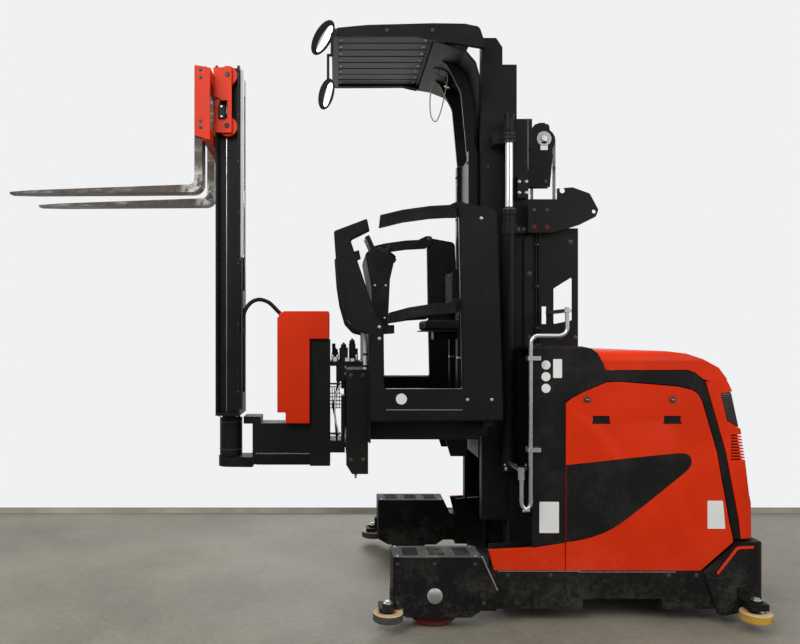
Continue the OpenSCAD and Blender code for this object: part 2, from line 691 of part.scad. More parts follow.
// outer mast: two channels with cross members behind
module outer_mast() {
    lip = 50;
    cross_z = [outer_foot_z, 1180, 2140, outer_top_z - 186];
    roller_z = 2530;
    color(charcoal) union() {
        both_sides() mast_channel(outer_x0, outer_x1, outer_half_w - lip, outer_half_w, outer_foot_z, outer_top_z);
        for (z = cross_z) block([outer_x1 - 1, -outer_half_w, z], [outer_x1 + 24, outer_half_w, z + 186]);
        both_sides() block([outer_x0 + 47, outer_half_w - 1, roller_z], [outer_x1 - 8, outer_half_w + 34, roller_z + 139]);
        both_sides() block([outer_x0 - 54, outer_half_w - 12, barrel_z - 40], [outer_x1 - 20, outer_half_w - 1, barrel_z + 60]);
        block([outer_x0 - 20, -outer_half_w, outer_foot_z], [outer_x0, outer_half_w, outer_foot_z + 16]);
    }
}

// support frames behind the mast, with their windows, and the plates above them
module mast_support() {
    x0 = outer_x1 - 30;
    x1 = x0 + support_len;
    z0 = hood_z - 44;
    z1 = support_top_z;
    window = rounded([[x0 + 184, z1 - 601, 8], [x0 + 302, z1 - 576, 8], [x0 + 302, z1 - 304, 8], [x0 + 184, z1 - 378, 8]]);
    frame_outline = rounded([[x0, z0, 0], [x1, z0, 0], [x1, z1, 0], [x0 + 70, z1, 0], [x0, z1 - 70, 0]]);
    wing = rounded([[x0 + 10, z1 - 35, 0], [x0 + 150, z1 - 35, 0], [x0 + 236, z1 - 16, 40], [x0 + 330, z1 + 14, 30],
        [x0 + 430, z1 + 64, 20], [x0 + 446, z1 + 106, 16], [x0 + 408, z1 + 178, 10], [x0 + 392, z1 + 208, 20],
        [x0 + 285, z1 + 246, 20], [x0 + 190, z1 + 238, 0], [x0 + 190, z1 + 172, 0], [x0 + 10, z1 + 172, 0]]);
    hole_rows = [[x0 + 222, z1 + 226, 17], [x0 + 418, z1 + 96, 12]];
    y0 = outer_half_w + seat_gap;
    color(charcoal) {
        both_sides() difference() {
            side_plate(frame_outline, y0, support_t);
            side_plate(window, y0 - 1, support_t + 2);
            block([x0 + 110, y0 - 1, z1 - 600], [x0 + 141, y0 + support_t + 1, z1 - 490]);
        }
        both_sides() difference() {
            union() {
                side_plate(wing, y0 + support_t + 45, 10);
                block([x0 + 20, y0 + support_t - 1, z1 - 25], [x0 + 150, y0 + support_t + 46, z1 - 9]);
                block([x0 + 20, y0 + support_t - 1, z1 - 34], [x0 + 36, y0 + support_t + 46, z1 - 9]);
            }
            for (h = hole_rows) cross_bar(h[0], h[1], y0 + support_t + 40, y0 + support_t + 60, h[2]);
        }
        block([x1 - 40, -y0, z1 - 100], [x1 - 25, y0, z1 - 20]);
    }
}

// hollow lift cylinder barrels with foot, gland and clamp
module lift_barrels() {
    top = barrel_z + barrel_len;
    arm_y = outer_half_w + support_t + 2 * seat_gap - cylinder_y;
    color(charcoal) both_sides() translate([cylinder_x, cylinder_y, 0]) difference() {
        union() {
            translate([0, 0, barrel_z - 22]) cylinder(h = barrel_len + 22, r = barrel_r);
            translate([0, 0, top - 30]) cylinder(h = 30, r = barrel_r + 5);
            translate([-44, -44, barrel_z - 24]) cube([88, 84, 24]);
            translate([0, 0, top - 150]) cylinder(h = 66, r = barrel_r + 6);
            translate([0, arm_y, top - 140]) cube([outer_x1 - 15 - cylinder_x, 22, 46]);
        }
        translate([0, 0, barrel_z]) cylinder(h = barrel_len - 20, r = barrel_r - barrel_wall);
        translate([0, 0, top - 40]) cylinder(h = 60, r = rod_r + run_gap);
    }
}

// points of a quarter bend in X and Z about a centre, turning from one angle to another
function bend_points(cx, cz, y, bend, from, to) =
    [for (i = [0:arc_steps]) let (t = from + (to - from) * i / arc_steps) [cx + bend * cos(t), y, cz + bend * sin(t)]];

// light steel pipe from the cylinder foot, down, back, up the body's corner and to the rear
module steel_pipe() {
    r = 12;
    bend = 45;
    y = -body_half_w - 40;
    x0 = cylinder_x - 6;
    x1 = body_x0 - 24;
    x2 = body_x0 + 186;
    z_low = sill_z + 362;
    z_fit = barrel_z + 26;
    z_high = cowl_z + 62;
    z_end = z_high + 165;
    route = concat([[x0, y, z_fit - 30]], bend_points(x0 + bend, z_low + bend, y, bend, 180, 270),
        bend_points(x1 - bend, z_low + bend, y, bend, 270, 360), bend_points(x1 + bend, z_high - bend, y, bend, 180, 90),
        bend_points(x2 - bend, z_high + bend, y, bend, 270, 360), [[x2, y, z_end]]);
    color(steel) {
        tube(route, r, 12);
        difference() {
            translate([x0, y, z_fit - 60]) cylinder(h = 72, r = 20, $fn = 6);
            translate([x0, y, z_fit - 61]) cylinder(h = 42, r = r + seat_gap);
        }
        translate([x0, y + 16, z_fit - 12]) rotate([-90, 0, 0]) cylinder(h = -y - 16 - cylinder_y - barrel_r - seat_gap, r = 12);
        for (z = [sill_z + 700, cowl_z - 80]) difference() {
            block([x1 - 20, y - 18, z], [body_x0 + 30, -body_half_w - seat_gap, z + 24]);
            translate([x1, y, z - 1]) cylinder(h = 26, r = r + seat_gap);
        }
        difference() {
            block([x2 - 20, y - 18, z_end - 30], [x2 + 20, -outer_half_w - support_t - 1, z_end - 10]);
            translate([x2, y, z_end - 31]) cylinder(h = 22, r = r + seat_gap);
        }
    }
}

// chain pulley and its bracket behind the mast's head
module chain_pulley() {
    half = 17;
    cheek = rounded([[outer_x1 + 24, pulley_z - 320, 0], [pulley_x + 40, pulley_z - 320, 0], [pulley_x + 60, pulley_z - 100, 10],
        [pulley_x + 34, pulley_z + 108, 20], [pulley_x - 60, pulley_z + 108, 20], [outer_x1 + 24, pulley_z - 60, 0]]);
    color(charcoal) union() {
        for (y = [-half - 14, half + 4]) side_plate(cheek, y, 10);
        block([outer_x1 + 24, -half - 14, pulley_z - 320], [outer_x1 + 38, half + 14, pulley_z - 60]);
        translate([pulley_x - 12, 0, pulley_z + 92]) cylinder(h = 24, r = 34, $fn = 6);
        block([pulley_x - 50, -half - 5, pulley_z + 84], [pulley_x + 24, half + 5, pulley_z + 94]);
        translate([pulley_x, half, pulley_z]) rotate([90, 0, 0]) rotate_extrude()
            polygon([[0, 0], [pulley_r + 7, 0], [pulley_r + 7, 4], [chain_groove_r, 7],
                [chain_groove_r, 2 * half - 7], [pulley_r + 7, 2 * half - 4], [pulley_r + 7, 2 * half], [0, 2 * half]]);
        cross_bar(pulley_x, pulley_z, -half - 18, half + 18, 16);
    }
}

// one link of leaf chain standing along Z: its plates and the pin at its foot
module chain_link(plates) {
    r = chain_plate_r;
    side = [for (t = [180:45:360]) [r * cos(t), r * sin(t)]];
    top = [for (t = [0:45:180]) [r * cos(t), chain_pitch + r * sin(t)]];
    for (y = plates) side_plate(concat(side, top), y - 1.1, 2.2);
    chain_pin();
}

// pin of the leaf chain
module chain_pin() {
    side_plate([for (t = [22.5:45:360]) [4 * cos(t), 4 * sin(t)]], -9.3, 18.6);
}

// leaf chain over the pulley, with its anchors at both ends
module lift_chain() {
    outer_plates = [-7.8, -2.6, 2.6, 7.8];
    inner_plates = [-5.2, 0, 5.2];
    run_r = chain_run_r;
    over_links = chain_over;
    step = 180 / over_links;
    color(steel) union() {
        for (run = [[-run_r, chain_front_links], [run_r, chain_rear_links]]) {
            for (i = [1:run[1]]) translate([pulley_x + run[0], 0, pulley_z - i * chain_pitch])
                chain_link(i % 2 == 0 ? outer_plates : inner_plates);
            translate([pulley_x + run[0], 0, pulley_z - run[1] * chain_pitch]) block([-8, -9.6, -60], [8, 9.6, 6]);
        }
        translate([pulley_x + run_r, 0, pulley_z]) chain_pin();
        for (i = [0:over_links - 1]) translate([pulley_x, 0, pulley_z]) rotate([0, -180 + step * i, 0])
            translate([run_r, 0, 0]) rotate([0, step / 2, 0]) mirror([0, 0, 1])
                chain_link(i % 2 == 0 ? outer_plates : inner_plates);
    }
}

// inner mast: channels for the cab's carriage, rear plates, cross members and guide rollers
module inner_mast() {
    rear_top = inner_top_z - 170;
    y_in = inner_half_w - 67;
    rear_x1 = outer_x1 - 58;
    cross_z = [inner_z, inner_z + 1000, inner_z + 2000, rear_top - 150];
    cap = [[inner_x0, inner_top_z - 300], [inner_x1, inner_top_z - 300], [inner_x1, inner_top_z - 60], [inner_x1 - 40, inner_top_z],
        [inner_x0, inner_top_z]];
    color(charcoal) union() {
        both_sides() mast_channel(inner_x0, inner_x1, y_in, inner_half_w, inner_z, inner_top_z - 290);
        both_sides() side_plate(cap, inner_half_w - web_t, web_t);
        both_sides() block([inner_x0, y_in, inner_top_z - 291], [inner_x0 + flange_t, inner_half_w, inner_top_z]);
        both_sides() block([inner_x1 - 1, inner_half_w - web_t, inner_z], [rear_x1, inner_half_w, rear_top]);
        for (z = cross_z) block([rear_x1 - 20, -inner_half_w + 1, z], [rear_x1, inner_half_w - 1, z + 150]);
        both_sides() cross_bar(mast_x, inner_z + 60, inner_half_w - 4, outer_half_w - web_t - 5, outer_depth / 2 - flange_t - seat_gap);
    }
}

// lift rods with the clamps that tie them to the inner mast
module lift_rods() {
    bottom = barrel_z + 10 + stroke_down;
    color(steel) both_sides() union() {
        translate([cylinder_x, cylinder_y, bottom]) cylinder(h = rod_clamp_z - bottom + 140, r = rod_r);
        translate([cylinder_x, cylinder_y, rod_clamp_z]) cylinder(h = clamp_h, r = rod_r + 16);
        block([inner_x1 - 78, inner_half_w + seat_gap, rod_clamp_z], [outer_x0 - 8, cylinder_y - 8, rod_clamp_z + clamp_h]);
    }
}

// carriage of the cab, running in the inner mast
module mast_carriage() {
    low = cab_z - 163;
    roller_r = inner_depth / 2 - flange_t - seat_gap;
    roller_x = (inner_x0 + inner_x1) / 2;
    y = inner_half_w - 67;
    color(charcoal) union() {
        both_sides() side_plate(rounded([[cab_x1 + seat_gap, low, 0], [inner_x1 - 10, low, 30], [inner_x1 - 10, low + 1000, 60],
            [cab_x1 + seat_gap, low + 1000, 0]]),
            y - 34, 20);
        for (z = [low, low + 880]) block([cab_x1 + seat_gap, -y + 30, z], [cab_x1 + 22, y - 30, z + 120]);
        both_sides() for (z = [low + 70, low + 930])
            cross_bar(roller_x, z, y - 20, inner_half_w - web_t - 3, roller_r);
    }
}

// platform of the cab and its under-frame
module cab_floor() {
    color(charcoal) union() {
        block([wall_x + sheet_t + seat_gap, -under_half_w, cab_z], [tower_x0 - seat_gap, under_half_w, cab_z + 128]);
        block([wall_x + sheet_t + seat_gap, -cab_half_w + side_t + seat_gap, cab_z + 127], [tower_x0 - seat_gap, cab_half_w - side_t - seat_gap, floor_z]);
        both_sides() side_plate([[tower_x0 - 110, cab_z - 160], [tower_x0 - seat_gap, cab_z - 160], [tower_x0 - seat_gap, cab_z + 1], [tower_x0 - 160, cab_z + 1]],
            200, 16);
    }
}

// side frame: leaning front pillar, low side panel and broad rear pillar, round one window
module cab_side(side) {
    x = cab_x0;
    z = cab_z;
    p1 = pillar_x0;
    corners = [[x + 208, z + 128, 0], [cab_x1 + 48, z + 137, 12], [cab_x1 + 32, z + 718, 0], [cab_x1 + 11, z + 1362, 40], [p1 + 1, z + 1402, 20],
        [p1 + 23, sill_top_z, 14], [x + 293, sill_top_z, 14], [x + 289, z + 695, 40], [x + 244, z + 746, 20], [x + 97, z + 1181, 16],
        [x + 208, z + 1236, 4], [x + 193, z + 1306, 8], [x, z + 1233, 14], [x + 16, z + 1011, 30], [x + 38, z + 864, 30],
        [x + 79, z + 718, 50], [x + 142, z + 649, 60], [x + 204, z + 635, 12]];
    y0 = cab_half_w - side_t;
    color(charcoal) mirror([0, side == LEFT ? 1 : 0, 0]) union() {
        side_plate(rounded(corners), y0, side_t - 8);
        side_plate(rounded(inset_corners(corners, 7)), y0 + side_t - 9, 9);
        block([x + 240, y0 - 30, z + 196], [p1 + 16, y0 + 1, sill_top_z - 6]);
        for (drop = [0, lower_drop]) cross_bar(p1 - gate_gap + gate_eye, z + 1388 - drop, y0 - 16, y0 + 1, gate_pin_r);
    }
}

// wall in front of the operator's legs, between the side frames
module cab_front_wall() {
    color(charcoal) union() {
        block([wall_x, -cab_half_w + side_t + seat_gap, cab_z], [wall_x + sheet_t, cab_half_w - side_t - seat_gap, cab_z + 690]);
        block([wall_x, -cab_half_w + side_t + seat_gap, cab_z + 640], [wall_x + 150, cab_half_w - side_t - seat_gap, cab_z + 690]);
    }
}

// tower behind the operator, with the backrest board in it
module cab_tower() {
    color(charcoal) union() {
        both_sides() block([tower_x0, tower_half_w - 60, cab_z + 20], [cab_x1, tower_half_w, tower_z]);
        block([tower_x0 + 24, -tower_half_w + 59, cab_z + 20], [tower_x0 + 24 + sheet_t, tower_half_w - 59, tower_z - 20]);
        block([tower_x0, -under_half_w, cab_z + 20], [cab_x1 - 4, under_half_w, cab_z + 127]);
        block([tower_x0, -cab_half_w + side_t + seat_gap, cab_z + 98], [cab_x1 - 4, cab_half_w - side_t - seat_gap, cab_z + 128]);
        both_sides() block([tower_x0 + 10, tower_half_w - 1, cab_z + 820], [cab_x1 - 6, cab_half_w - side_t - seat_gap, cab_z + 900]);
    }
}

// roof of the overhead guard: side flanges, cross members and fore-and-aft slats
module guard_roof() {
    x0 = cab_x0 - 20;
    x1 = roof_x1;
    pitch = (2 * guard_half_w - 60) / slat_count;
    flange = rounded([[x0, roof_z - 55, 0], [x0 + 24, roof_z - 55, 0], [x1 - 411, roof_z - 50, 0], [x1 - 307, roof_z - 74, 0],
        [x1 + 5, roof_z - 124, 0], [x1, roof_z - 69, 20], [x1 - 25, roof_z + 5, 30], [x1 - 114, roof_z + 25, 0],
        [x1 - 312, roof_z + 28, 0], [x0 + 222, roof_z + 17, 0], [x0 + 44, roof_z, 30], [x0, roof_z - 30, 8]]);
    color(charcoal) union() {
        both_sides() side_plate(flange, guard_half_w - 30, 30);
        for (i = [0:slat_count - 1]) let (y = -guard_half_w + 30 + pitch * i)
            side_plate([[x0 + 40, roof_z - 40], [x1 - 299, roof_z - 40], [x1 - 299, roof_z - 40 + slat_t], [x0 + 40, roof_z - 40 + slat_t]],
                y + slat_gap / 2, pitch - slat_gap);
        block([x0 + 6, -guard_half_w + 1, roof_z - 54], [x0 + 50, guard_half_w - 1, roof_z - 6]);
        block([x0 + 330, -guard_half_w + 1, roof_z - 14], [x0 + 370, guard_half_w - 1, roof_z + 8]);
        block([x1 - 324, -guard_half_w + 1, roof_z - 50], [x1 - 284, guard_half_w - 1, roof_z]);
        block([x1 - 285, -guard_half_w + 1, roof_z], [x1 - 40, guard_half_w - 1, roof_z + 12]);
    }
}

// vault of the guard: a curved sheet from the roof down to the tower, narrowing on its way
module guard_vault() {
    x0 = vault_x0;
    outer = [[x0, roof_z - 62], [x0 + 60, roof_z - 74], [x0 + 200, roof_z - 128], [x0 + 262, roof_z - 200], [x0 + 290, roof_z - 300],
        [cab_x1, roof_z - 440], [cab_x1, tower_z - 120]];
    inner = [[cab_x1 - 14, tower_z - 120], [cab_x1 - 14, roof_z - 440], [x0 + 274, roof_z - 306], [x0 + 248, roof_z - 208], [x0 + 190, roof_z - 141],
        [x0 + 56, roof_z - 88], [x0, roof_z - 76]];
    face = rounded([[-guard_half_w + 30 + seat_gap, roof_z, 0], [-guard_half_w + 30 + seat_gap, roof_z - 330, 60], [-tower_half_w + 61, tower_z + 60, 60],
        [-tower_half_w + 61, tower_z - 130, 0], [tower_half_w - 61, tower_z - 130, 0], [tower_half_w - 61, tower_z + 60, 60],
        [guard_half_w - 30 - seat_gap, roof_z - 330, 60], [guard_half_w - 30 - seat_gap, roof_z, 0]]);
    color(charcoal) difference() {
        union() {
            intersection() {
                side_plate(concat(outer, inner), -guard_half_w, 2 * guard_half_w);
                translate([x0 - 10, 0, 0]) rotate([90, 0, 90]) linear_extrude(600) polygon(face);
            }
            both_sides() side_plate(rounded([[x0 + 30, roof_z - 60, 0], [x0 + 120, roof_z - 130, 60], [x0 + 210, roof_z - 310, 120], [tower_x0, tower_z - 10, 0],
                [tower_x0, tower_z, 0], [cab_x1, tower_z, 0], [cab_x1, roof_z - 440, 0], [x0 + 290, roof_z - 300, 0],
                [x0 + 262, roof_z - 200, 0], [x0 + 200, roof_z - 128, 0], [x0 + 60, roof_z - 74, 0]]), tower_half_w - 78, 18);
        }
        translate([x0 + 112, 0, roof_z - 300]) cylinder(h = 400, r = vault_hole_r);
    }
}

// lamp beside the round hole
module guard_lamp() {
    x0 = vault_x0;
    color(black) translate([x0 + 165.4, 46, roof_z - 168.2]) rotate([0, 21.6, 0]) union() {
        cylinder(h = 22, r = 34);
        translate([0, 0, -22]) cylinder(h = 24, r = 24);
        translate([-12, -12, 18]) cube([24, 24, 16]);
    }
}

// control console across the cab, with display, steering knob and grip
module console() {
    x0 = cab_x0 + 250;
    z0 = cab_z + 690 + seat_gap;
    half = 300;
    body = rounded([[x0 - 6, z0, 0], [x0 + 96, z0, 0], [x0 + 110, z0 + 300, 30], [x0 + 140, z0 + 430, 14], [x0 + 20, z0 + 505, 20],
        [x0 - 52, z0 + 470, 30], [x0 - 10, z0 + 250, 40]]);
    color(black) union() {
        side_plate(body, -half, 2 * half);
        translate([x0 + 84, -0.55 * half, z0 + 460]) rotate([0, 30, 0]) union() {
            cylinder(h = 20, r = 78);
            translate([0, 0, 18]) cylinder(h = 20, r = 66);
            translate([0, 44, 30]) cylinder(h = 44, r = 20);
        }
        translate([x0 + 84, 0.5 * half, z0 + 450]) rotate([0, 30, 0]) union() {
            cylinder(h = 60, r = 18);
            translate([0, 0, 76]) sphere(r = 32);
        }
        translate([x0 + 20, 0, z0 + 498]) rotate([0, -24, 0]) block([-14, -110, -20], [14, 110, 120]);
    }
}

// fold-down seat with its post and backrest pad
module seat() {
    x1 = tower_x0 - seat_gap;
    z0 = floor_z + 515;
    color(black) union() {
        flat_plate(rounded([[x1 - 290, -200, 70], [x1 - 20, -220, 30], [x1 - 20, 220, 30], [x1 - 290, 200, 70]]), z0, 70);
        block([x1 - 90, -190, z0 + 130], [x1 - 30, 190, z0 + 420]);
        block([x1 - 31, -60, z0 - 120], [x1, 60, z0 + 300]);
        block([x1 - 200, -60, z0 - 60], [x1 - 20, 60, z0 + 1]);
        both_sides() block([x1 - 60, 150, floor_z + seat_gap], [x1 - 30, 180, z0 + 1]);
    }
}

// two mirrors on one stalk at the guard's near front corner
module mirrors() {
    x = cab_x0 - 20;
    y = -guard_half_w - 12;
    heads = [[x - 56, roof_z - 70, 56, 118, 30], [x - 36, roof_z - 420, 50, 98, 16]];
    color(black) union() {
        for (m = heads) translate([m[0], y, m[1]]) rotate([0, m[4], 0]) rotate([0, 0, -62]) scale([1, 1, m[3] / m[2]])
            rotate([0, 90, 0]) cylinder(h = 22, r1 = m[2] * 0.7, r2 = m[2]);
        translate([x - 40, y, roof_z - 46]) rotate([0, 90, 0]) cylinder(h = 60, r = 9);
        translate([x + 8, y, roof_z - 180]) cylinder(h = 140, r = 9);
        translate([x - 16, y, roof_z - 420]) cylinder(h = 250, r = 8);
        translate([x - 16, y, roof_z - 176]) rotate([0, 90, 0]) cylinder(h = 30, r = 9);
        block([x + 2, y - 6, roof_z - 58], [x + 40, -guard_half_w - seat_gap, roof_z - 30]);
    }
}

// one bar of a side gate, curved, with its hinge eye at the rear pillar
module gate_bar(side, drop, reach, h) {
    x1 = pillar_x0 - gate_gap;
    z1 = cab_z + 1388 - drop;
    low = [[x1 - reach, z1 - h - 63], [x1 - reach * 0.7, z1 - h - 30], [x1 - reach * 0.35, z1 - h - 8], [x1, z1 - h]];
    high = [[x1 - 20, z1 - 1], [x1 - reach * 0.35, z1 - 8], [x1 - reach * 0.7, z1 - 30], [x1 - reach + 10, z1 - 60]];
    y0 = cab_half_w - side_t + 6;
    y_eye = cab_half_w - side_t - 10 - seat_gap;
    color(charcoal) mirror([0, side == LEFT ? 1 : 0, 0]) union() {
        side_plate(concat(low, high), y0, gate_bar_w);
        difference() {
            side_plate(rounded([[x1 - 50, z1 - h, 0], [x1, z1 - h, 20], [x1 + gate_eye + 24, z1 - 26, 12], [x1 + gate_eye + 24, z1 + 24, 20],
                [x1 + gate_eye - 24, z1 + 24, 20], [x1 - 50, z1, 0]]), y_eye, 10);
            cross_bar(x1 + gate_eye, z1, y_eye - 1, y_eye + 11, gate_pin_r + run_gap);
        }
        block([x1 - 50, y_eye + 9, z1 - h], [x1 - 20, y0 + 1, z1]);
    }
}

// traverse frame: end plates, guide rails, toothed rack and centre beam
module traverse_frame() {
    half = traverse_half_w;
    tooth_h = 12;
    low_end = cab_z - 193;
    count = floor((2 * half - 120) / rack_pitch);
    color(charcoal) union() {
        both_sides() side_plate(rounded([[rail_x0 - 4, low_end + 55, 0], [rail_x0 + 30, low_end, 0], [frame_x1, low_end, 0],
            [frame_x1, rail_high_z + rail_h, 10], [rail_x0 - 4, rail_high_z + rail_h, 10]]), half - end_plate_t, end_plate_t);
        for (z = [rail_low_z, rail_high_z]) difference() {
            block([rail_x0, -half + 1, z], [rail_x1, half - 1, z + rail_h]);
            block([rail_x0 - 1, -half + end_plate_t, z + 22], [rail_x0 + 26, half - end_plate_t, z + rail_h - 22]);
        }
        block([rail_x1 - 1, -half + 1, rail_low_z - 20], [frame_x1, half - 1, rail_low_z + rail_h]);
        block([rail_x1 - 1, -half + 1, rail_high_z], [frame_x1, half - 1, rail_high_z + rail_h]);
        block([rail_x0 + 50, -half + 1, cab_z + 80], [rail_x1 + 10, half - 1, cab_z + 150]);
        for (i = [0:count - 1]) translate([rail_x0 + 8, -half + 60 + rack_pitch * (i + 0.5), rail_low_z + rail_h - 1])
            rotate([90, 0, 90]) linear_extrude(34) polygon([[-rack_pitch * 0.4, 0], [rack_pitch * 0.4, 0],
                [rack_pitch * 0.16, tooth_h], [-rack_pitch * 0.16, tooth_h]]);
    }
}

// traverse head: slide plates over the rails, upright, arm and lower swivel plate
module head_frame() {
    half = 120;
    plate_z = rail_high_z + rail_h + seat_gap;
    top_clear = 5;
    arm_x1 = upright_x0 + 1;
    lower_t = 48;
    color(charcoal) difference() {
        union() {
            block([upright_x0, -half, arm_z - 6], [upright_x1, half, upright_z]);
            block([swivel_x + drum_r + 81, -arm_w2, arm_z], [arm_x1, arm_w2, arm_top_z]);
            block([swivel_x + drum_r + 110, -arm_w2 - 14, arm_z], [arm_x1, arm_w2 + 14, arm_z + 78]);
            block([upright_x1 - 1, -half, plate_z], [rail_x1 + 24, half, plate_z + 30]);
            block([rail_x0 - 64, -half, rail_high_z - 30], [rail_x0 - top_clear, half, plate_z + 1]);
            block([upright_x1 - 1, -half, rail_low_z - 8], [rail_x0 - top_clear, half, rail_low_z + rail_h]);
            block([rail_x0 - top_clear - 1, -half, rail_low_z + 28], [rail_x0 + 18, half, rail_low_z + rail_h - 28]);
            block([rail_x0 - top_clear - 1, -half, rail_high_z + 28], [rail_x0 + 18, half, rail_high_z + rail_h - 28]);
            block([rail_x0 - 30, -half + 20, rail_low_z + rail_h - 1], [rail_x0 - top_clear, half - 40, rail_high_z - 130]);
            block([rail_x0 - 30, -half + 20, rail_high_z - 80], [rail_x0 - top_clear, half - 20, rail_high_z]);
            flat_plate(rounded([[swivel_x - drum_r - 6, -drum_r - 6, drum_r + 4], [swivel_x + drum_r + 82, -arm_w2, 0],
                [swivel_x + drum_r + 82, arm_w2, 0], [swivel_x - drum_r - 6, drum_r + 6, drum_r + 4]]), arm_z - 19, lower_t + 19);
            translate([swivel_x, 0, arm_z]) cylinder(h = drum_z1 - arm_z - 20, r = swivel_pin_r);
            block([swivel_x + drum_r + 20, -arm_w2 + 10, arm_top_z - 4], [swivel_x + drum_r + 134, arm_w2 - 10, arm_top_z + 44]);
            valves();
        }
    }
}

// valves and fittings on the slide plate
module valves() {
    z0 = rail_high_z + rail_h + 29;
    blocks = [[10, -60, 46, 90, 60], [62, -70, 58, 120, 92], [128, -40, 44, 80, 120]];
    posts = [[24, 60, 12, 120], [90, 76, 14, 70], [150, 70, 16, 110], [176, -66, 11, 88]];
    for (b = blocks) block([upright_x1 + b[0], b[1], z0], [upright_x1 + b[0] + b[2], b[1] + b[3], z0 + b[4]]);
    for (p = posts) translate([upright_x1 + p[0], p[1], z0]) cylinder(h = p[3], r = p[2]);
}

// red cover over the swivel motor
module motor_cover() {
    x0 = upright_x0 - 217;
    x1 = upright_x1 - 6;
    z0 = arm_top_z + 44;
    top = arm_z + 1027;
    outline = rounded([[x0, z0 + 33, 6], [x0 + 55, z0 + 33, 0], [x0 + 55, z0 - 40, 6], [upright_x0 - seat_gap, z0 - 40, 0],
        [upright_x0 - seat_gap, upright_z + seat_gap, 0],
        [x1, upright_z + seat_gap, 0], [x1, top, 12], [x0 + 44, top, 14], [x0, top - 44, 14]]);
    color(red) side_plate(outline, -motor_half_w, 2 * motor_half_w);
    color(red) translate([x0 + 22, hose_y, top - 22 - seat_gap]) rotate([0, -45, 0]) cylinder(h = 14, r = 20, $fn = 6);
}

// swivel drum under the auxiliary mast, with its base flange
module swivel_base() {
    color(charcoal) translate([swivel_x, 0, 0]) union() {
        difference() {
            translate([0, 0, drum_z0]) cylinder(h = drum_z1 - drum_z0, r = drum_r);
            translate([0, 0, drum_z0 - 1]) cylinder(h = drum_z1 - drum_z0 - 9, r = swivel_pin_r + run_gap);
        }
        translate([0, 0, drum_z1 - 1]) cylinder(h = aux_z - drum_z1 - 18, r = drum_r - 14);
        block([-aux_depth / 2, -aux_half_w, aux_z - 20], [aux_depth / 2, aux_half_w, aux_z]);
    }
}

// auxiliary mast: two channels open outwards, tied across
module aux_mast() {
    y_in = aux_half_w - 60;
    tie_z = [0, 700, 1400, aux_len - 120];
    color(charcoal) union() {
        both_sides() {
            block([aux_x0, y_in, aux_z], [aux_x1, y_in + 12, aux_z + aux_len]);
            block([aux_x0, y_in, aux_z], [aux_x0 + aux_flange, aux_half_w, aux_z + aux_len]);
            block([aux_x1 - aux_flange, y_in, aux_z], [aux_x1, aux_half_w, aux_z + aux_len]);
        }
        for (z = tie_z) block([aux_x1 - 40, -y_in - 1, aux_z + z], [aux_x1, y_in + 1, aux_z + z + 120]);
    }
}

// lift cylinder between the channels and the pipe up the back of the auxiliary mast
module aux_cylinder() {
    top = aux_z + aux_len - 160;
    pipe_x = aux_x1 + aux_pipe_r + seat_gap;
    color(steel) union() {
        translate([swivel_x - 10, 0, aux_z + seat_gap]) cylinder(h = 1180, r = 32);
        translate([swivel_x - 10, 0, aux_z + 1170]) cylinder(h = top - aux_z - 1170, r = 20);
        block([swivel_x - 36, -42, top], [swivel_x + 20, 42, top + 60]);
        translate([pipe_x, -aux_half_w + 30, aux_z + 20]) cylinder(h = 1000, r = aux_pipe_r);
        translate(hose_end - [0, 0, 36]) cylinder(h = 36, r = 15, $fn = 6);
        block([aux_x1 + seat_gap, hose_end[1] - 8, hose_end[2] - 30], [hose_end[0], hose_end[1] + 8, hose_end[2] - 10]);
    }
}

// fork carriage: red side plates with rollers in the mast, and the bars that the forks hang on
module fork_carriage() {
    z = fork_z;
    y0 = aux_half_w + 7;
    back = [[aux_x0 - 10, z + 412], [aux_x0 + 110, z + 412], [aux_x0 + 110, z + 842], [aux_x0 - 10, z + 842]];
    front = [[aux_x0 - 12, z + 330], [aux_x0 - 12, z + 760], [aux_x0 - 40, z + 800], [aux_x0 - 110, z + 812], [aux_x0 - 110, z + 360]];
    end_y = fork_spread / 2 + fork_w / 2 + 3;
    roller_x = swivel_x;
    roller_r = aux_depth / 2 - aux_flange - seat_gap;
    pin_z = [z + 459, z + 796];
    bar_z = [z + 330, z + 720];
    color(red) union() {
        both_sides() difference() {
            union() {
                side_plate(back, y0, carriage_plate);
                side_plate(front, end_y, carriage_plate);
            }
            block([aux_x0 + 30, y0 - 1, z + 505], [aux_x0 + 82, y0 + carriage_plate + 1, z + 625]);
        }
        both_sides() for (pz = pin_z) {
            cross_bar(roller_x, pz, aux_half_w - 44, aux_half_w - 2, roller_r);
            cross_bar(roller_x, pz, aux_half_w - 3, y0 + carriage_plate + 3, 18);
        }
        for (bz = bar_z) block([shank_x + fork_t + seat_gap, -end_y - 1, bz], [aux_x0 - 12, end_y + 1, bz + 80]);
        for (bz = [bar_z[0] + 86, bar_z[1]]) both_sides() block([aux_x0 - 13, y0, bz], [aux_x0 - 9, y0 + carriage_plate, bz + 74]);
    }
}

